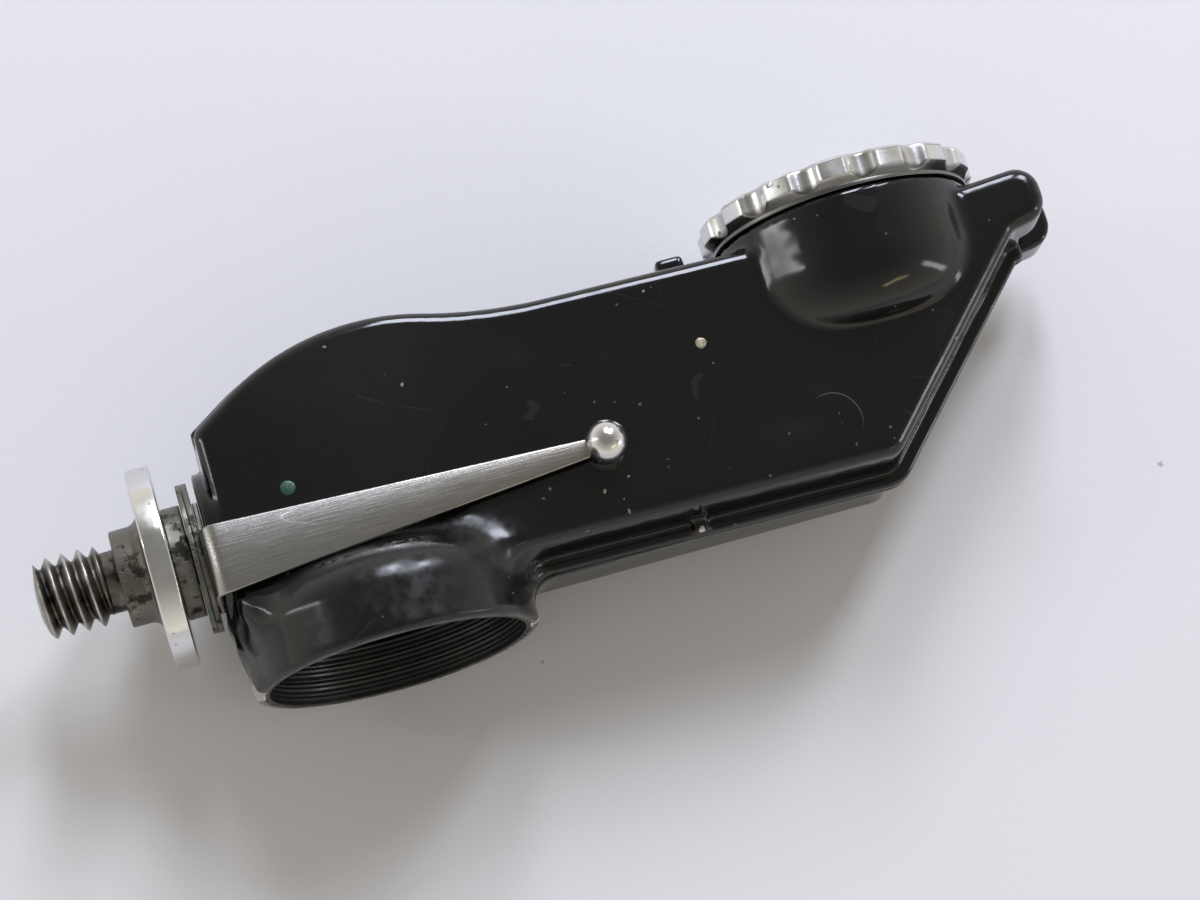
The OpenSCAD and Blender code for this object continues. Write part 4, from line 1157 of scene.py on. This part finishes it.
class RANGEFINDER_OT_clip(bpy.types.Operator):
    """Adds the spring strip with its bend, the eye under the washers and the ball"""

    bl_idname = "rangefinder.clip"
    bl_label = "Clip"

    def middle_line(self):
        """The strip's middle line in X and Z, the unit vector across it at each point, and how far
        along the arm each point is, from 0 at the bend to 1 at the ball."""
        bend_x = TAB_X + CLIP_T + BEND_R
        middle_r = BEND_R + CLIP_T / 2
        face_z = HALF_T + 0.6 + CLIP_T / 2
        arm_end = BALL_X - BALL_R * 0.9
        rise = np.linspace(1.0, BEND_Z, 20)[:-1]
        turn = np.linspace(0, np.pi / 2, 14)
        run = np.concatenate([np.linspace(bend_x, arm_end, 60)[1:], [arm_end + 0.02, BALL_X - 0.3]])
        path = np.concatenate([
            np.stack([np.full(len(rise), TAB_X + CLIP_T / 2), rise], axis=1),
            np.stack([bend_x - middle_r * np.cos(turn), BEND_Z + middle_r * np.sin(turn)], axis=1),
            np.stack([run, np.full(len(run), face_z)], axis=1)])
        across = np.concatenate([
            np.stack([-np.ones(len(rise)), np.zeros(len(rise))], axis=1),
            np.stack([-np.cos(turn), np.sin(turn)], axis=1),
            np.stack([np.zeros(len(run)), np.ones(len(run))], axis=1)])
        part = np.clip((path[:, 0] - bend_x) / (arm_end - bend_x), 0, 1)
        return path, across, part

    def strip(self, corner):
        """Strip swept along its middle line: a rectangle with rounded corners that tapers towards
        the ball, where it narrows to a tongue inside it."""
        path, across, part = self.middle_line()
        half_w = CLIP_HALF_W + (CLIP_TIP_HALF_W - CLIP_HALF_W) * part
        half_w[-2:] = 0.4
        middle_y = CLIP_Y + (CLIP_TIP_Y - CLIP_Y) * part
        quarter = np.linspace(0, np.pi / 2, 4)
        rim = []
        for sx, sz in ((1, 1), (-1, 1), (-1, -1), (1, -1)):
            arc = quarter if sx * sz > 0 else quarter[::-1]
            rim += [(sx, sz, np.cos(a), np.sin(a)) for a in arc]
        sx, sz, cx, cz = np.array(rim).T
        y = middle_y[:, None] + sx * (half_w[:, None] - corner) + sx * cx * corner
        off = sz * (CLIP_T / 2 - corner) + sz * cz * corner
        x = path[:, :1] + across[:, :1] * off
        z = path[:, 1:] + across[:, 1:] * off
        rows, columns = y.shape
        faces = grid_faces(rows, columns).tolist()
        faces.append(list(range(columns))[::-1])
        faces.append(list(range((rows - 1) * columns, rows * columns)))
        return make_mesh("spring_strip", np.stack([x, y, z], axis=-1), faces, merge=0, sharp=35)

    def execute(self, context):
        strip = self.strip(context.scene.metal_sizes.strip_corner)
        strip.data.materials.append(material("spring_steel"))
        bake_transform(strip)
        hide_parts("clip_arm")

        eye = ring_profile(STUD_HOLE_R, 4.3, TAB_X + 0.03, TAB_X + 0.47, 0.1)
        obj = lathe("clip_eye", eye, "X", sharp=45)
        finish_piece(obj, "housing", "spring_steel", "clip_tab")

        swing = np.linspace(0, np.pi, 49)
        ball = np.stack([np.maximum(BALL_R * np.sin(swing), AXIS_R), -BALL_R * np.cos(swing)],
                        axis=1)
        centre = (BALL_X, CLIP_TIP_Y, HALF_T + BALL_R + 0.05)
        obj = lathe("clip_ball_end", ball, "Z", centre, closed=False)
        finish_piece(obj, "clip", "disc_plate", "clip_ball")
        return {"FINISHED"}


class RANGEFINDER_OT_index_block(bpy.types.Operator):
    """Adds the rounded index block on the top wall"""

    bl_idname = "rangefinder.index_block"
    bl_label = "Index block"

    def execute(self, context):
        low, high = (np.array(corner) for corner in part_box("index_block"))
        u = np.linspace(0, 2 * np.pi, 65)[:-1]
        v = np.linspace(-np.pi / 2, np.pi / 2, 33)
        u, v = np.meshgrid(u, v)

        def power(value):
            return np.sign(value) * np.abs(value) ** 0.3

        # Rounded block: a ball whose sines and cosines are raised to a low power
        x = power(np.cos(v)) * power(np.cos(u))
        y = power(np.sin(v))
        z = power(np.cos(v)) * power(np.sin(u))
        points = np.stack([x, y, z], axis=-1) * (high - low) / 2 + (low + high) / 2
        points = (points - ORIGIN) / MM
        obj = make_mesh("rounded_index", points, grid_faces(*u.shape), merge=0.002)
        finish_piece(obj, "housing", "black_enamel", "index_block")
        return {"FINISHED"}


class RANGEFINDER_OT_screw_ends(bpy.types.Operator):
    """Adds the crusted ends of the two through screws on the face"""

    bl_idname = "rangefinder.screw_ends"
    bl_label = "Screw ends"

    def execute(self, context):
        def ragged(radius, along, angle):
            """Radius with a sum of sines round the crust, so that its edge isn't round."""
            return radius * (1 + 0.03 * np.sin(3 * angle + 1) + 0.02 * np.sin(7 * angle + 2))

        swing = np.linspace(0, np.pi / 2, 9)
        for name, place, radius, finish in (
                ("green_screw_end", GREEN_SCREW, 0.58, "green_screw"),
                ("pale_screw_end", PALE_SCREW, 0.44, "pale_screw")):
            dome = np.stack([radius * np.sin(swing), 0.09 * np.cos(swing)], axis=1)
            dome[0, 0] = AXIS_R
            foot = [(radius, -0.35), (AXIS_R, -0.35)]
            profile = np.concatenate([dome, foot])[::-1]
            obj = lathe(name, profile, "Z", (*place, HALF_T), turns=40, closed=False,
                        relief=ragged, sharp=50)
            finish_piece(obj, "housing", finish)
        return {"FINISHED"}


CARRIED = {
    "brass": ("guide_pin", "front_mirror_bracket", "rear_mirror_bracket", "stud_nut",
              "thrust_washer"),
    "cell_black": ("objective_cell", "objective_retaining_ring", "reticle_cell", "erector_cell",
                   "ring_retainer", "eyepiece_tube", "lens_spacer", "eye_cap"),
    "green_screw": ("front_housing_screw",),
    "optical_glass": ("objective_crown_lens", "objective_flint_lens", "reticle_disc",
                      "erector_lens", "field_lens", "eye_lens"),
    "pale_screw": ("rear_housing_screw",),
    "silvered_glass": ("front_mirror", "rear_mirror"),
}


class RANGEFINDER_OT_carried_parts(bpy.types.Operator):
    """Gives the screws, cells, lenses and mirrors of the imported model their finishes"""

    bl_idname = "rangefinder.carried_parts"
    bl_label = "Screws and optics"

    def execute(self, context):
        for finish, nodes in CARRIED.items():
            for node in nodes:
                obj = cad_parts[node]
                if not obj.material_slots:
                    obj.data.materials.append(None)
                for slot in obj.material_slots:
                    slot.material = material(finish)
        return {"FINISHED"}


# Lamps: place in metres, width, height, power in watts, and colour
LAMPS = (
    ("left_pane", (0.14, 0.6, 0.58), 0.15, 0.38, 3.25, (0.82, 0.86, 1.0)),
    ("right_pane", (0.4, 0.46, 0.58), 0.15, 0.38, 3.25, (0.82, 0.86, 1.0)),
    ("side", (-0.62, 0.2, 0.3), 0.03, 0.4, 0.3, (0.97, 0.98, 1.0)),
    ("right", (0.62, -0.3, 0.22), 0.08, 0.3, 0.38, (0.95, 0.97, 1.0)),
    ("warm", (0.3, -0.55, 0.42), 0.28, 0.03, 0.12, (1.0, 0.75, 0.35)),
)
LAMPS_AIM = Vector((0, 0, 0.01))
FLOOR_HALF = 1.5
# Camera: the point that it looks at, its distance, its lens, and its elevation, azimuth and roll
CAMERA_AIM = (30.576, 0.031, 0.0)
CAMERA_DISTANCE = 0.31378
CAMERA_LENS = 120
CAMERA_ANGLES = (75.302, -23.148, 7.333)


class RANGEFINDER_OT_stage(bpy.types.Operator):
    """Adds the paper floor, the lamps, the world and the camera"""

    bl_idname = "rangefinder.stage"
    bl_label = "Stage"

    def add_floor(self, scene):
        paper = Finish("paper", scene.finish_colours.paper, 0.85)
        paper.tint(paper.patches(40, 4, 0.35, 0.7, 0.0, 0.12), (0.8, 0.79, 0.84))
        dots = paper.effect(specks, Scale=170.0, Share=0.2, Size=0.03)["Mask"]
        paper.tint(dots, (0.3, 0.28, 0.25), 0.6)
        paper.bump(paper.noise(1500, 4), 0.00002)
        floor = bpy.data.meshes.new("paper_floor")
        corners = [(x * FLOOR_HALF, y * FLOOR_HALF, 0) for x, y in ((-1, -1), (1, -1), (1, 1), (-1, 1))]
        floor.from_pydata(corners, [], [(0, 1, 2, 3)])
        ground = bpy.data.objects.new("paper_floor", floor)
        scene.collection.objects.link(ground)
        floor.materials.append(paper.material)

    def add_world(self, scene):
        """Warm white at the horizon, turning into a darker ceiling."""
        world = scene.world or bpy.data.worlds.new("plain")
        scene.world = world
        world.use_nodes = True
        n = Nodes(world.node_tree)
        where = n.add("ShaderNodeTexCoord").outputs["Generated"]
        height = n.add("ShaderNodeSeparateXYZ", Vector=where).outputs[2]
        background = world.node_tree.nodes["Background"].inputs
        sky = n.mix(n.remap(height, 0.0, 0.9), (0.98, 0.93, 0.84), (0.25, 0.24, 0.22))
        n.put(sky, background["Color"])
        n.put(1.0, background["Strength"])

    def add_lamps(self, scene):
        for name, place, width, height, power, colour in LAMPS:
            light = bpy.data.lights.new(name, "AREA")
            light.shape = "RECTANGLE"
            light.size = width
            light.size_y = height
            light.energy = power
            light.color = colour
            lamp = bpy.data.objects.new(name, light)
            scene.collection.objects.link(lamp)
            lamp.location = place
            lamp.rotation_euler = (LAMPS_AIM - Vector(place)).to_track_quat("-Z", "Y").to_euler()

    def add_camera(self, scene):
        elevation, azimuth, roll = (math.radians(angle) for angle in CAMERA_ANGLES)
        level = math.cos(elevation)
        back = Vector((math.sin(azimuth) * level, -math.cos(azimuth) * level, math.sin(elevation)))
        right = Vector((math.cos(azimuth), math.sin(azimuth), 0))
        up = back.cross(right)
        x_axis = math.cos(roll) * right + math.sin(roll) * up
        y_axis = -math.sin(roll) * right + math.cos(roll) * up
        place = placed(CAMERA_AIM) + back * CAMERA_DISTANCE
        data = bpy.data.cameras.new("camera")
        data.sensor_width = 36
        data.lens = CAMERA_LENS
        data.clip_start = 0.01
        camera = bpy.data.objects.new("camera", data)
        scene.collection.objects.link(camera)
        rows = [(*row, at) for row, at in zip(zip(x_axis, y_axis, back), place)]
        camera.matrix_world = Matrix((*rows, (0, 0, 0, 1)))
        scene.camera = camera

    def execute(self, context):
        scene = context.scene
        scene.view_settings.view_transform = "Standard"
        self.add_floor(scene)
        self.add_world(scene)
        self.add_lamps(scene)
        self.add_camera(scene)
        return {"FINISHED"}


OPERATORS = (
    RANGEFINDER_OT_castings,
    RANGEFINDER_OT_bore,
    RANGEFINDER_OT_focus_ring,
    RANGEFINDER_OT_stud,
    RANGEFINDER_OT_stud_rings,
    RANGEFINDER_OT_clip,
    RANGEFINDER_OT_index_block,
    RANGEFINDER_OT_screw_ends,
    RANGEFINDER_OT_carried_parts,
    RANGEFINDER_OT_stage,
)


class RANGEFINDER_PT_pieces(bpy.types.Panel):
    """Lists the pieces of the rangefinder"""

    bl_label = "Rangefinder"
    bl_idname = "RANGEFINDER_PT_pieces"
    bl_space_type = "VIEW_3D"
    bl_region_type = "UI"
    bl_category = "Rangefinder"

    def draw(self, context):
        layout = self.layout
        for operator in OPERATORS:
            layout.operator(operator.bl_idname)
        for group in (context.scene.casting_sizes, context.scene.metal_sizes, context.scene.finish_colours):
            box = layout.box()
            for name in group.__annotations__:
                box.prop(group, name)


GROUPS = (
    ("casting_sizes", CastingSizes),
    ("metal_sizes", MetalSizes),
    ("finish_colours", FinishColours),
)


def register():
    for name, group in GROUPS:
        bpy.utils.register_class(group)
        setattr(bpy.types.Scene, name, PointerProperty(type=group))
    for operator in OPERATORS:
        bpy.utils.register_class(operator)
    bpy.utils.register_class(RANGEFINDER_PT_pieces)


def unregister():
    bpy.utils.unregister_class(RANGEFINDER_PT_pieces)
    for operator in reversed(OPERATORS):
        bpy.utils.unregister_class(operator)
    for name, group in reversed(GROUPS):
        delattr(bpy.types.Scene, name)
        bpy.utils.unregister_class(group)


def main():
    register()
    bpy.ops.rangefinder.castings()
    bpy.ops.rangefinder.bore()
    bpy.ops.rangefinder.focus_ring()
    bpy.ops.rangefinder.stud()
    bpy.ops.rangefinder.stud_rings()
    bpy.ops.rangefinder.clip()
    bpy.ops.rangefinder.index_block()
    bpy.ops.rangefinder.screw_ends()
    bpy.ops.rangefinder.carried_parts()
    bpy.ops.rangefinder.stage()


if __name__ == "__main__":
    main()
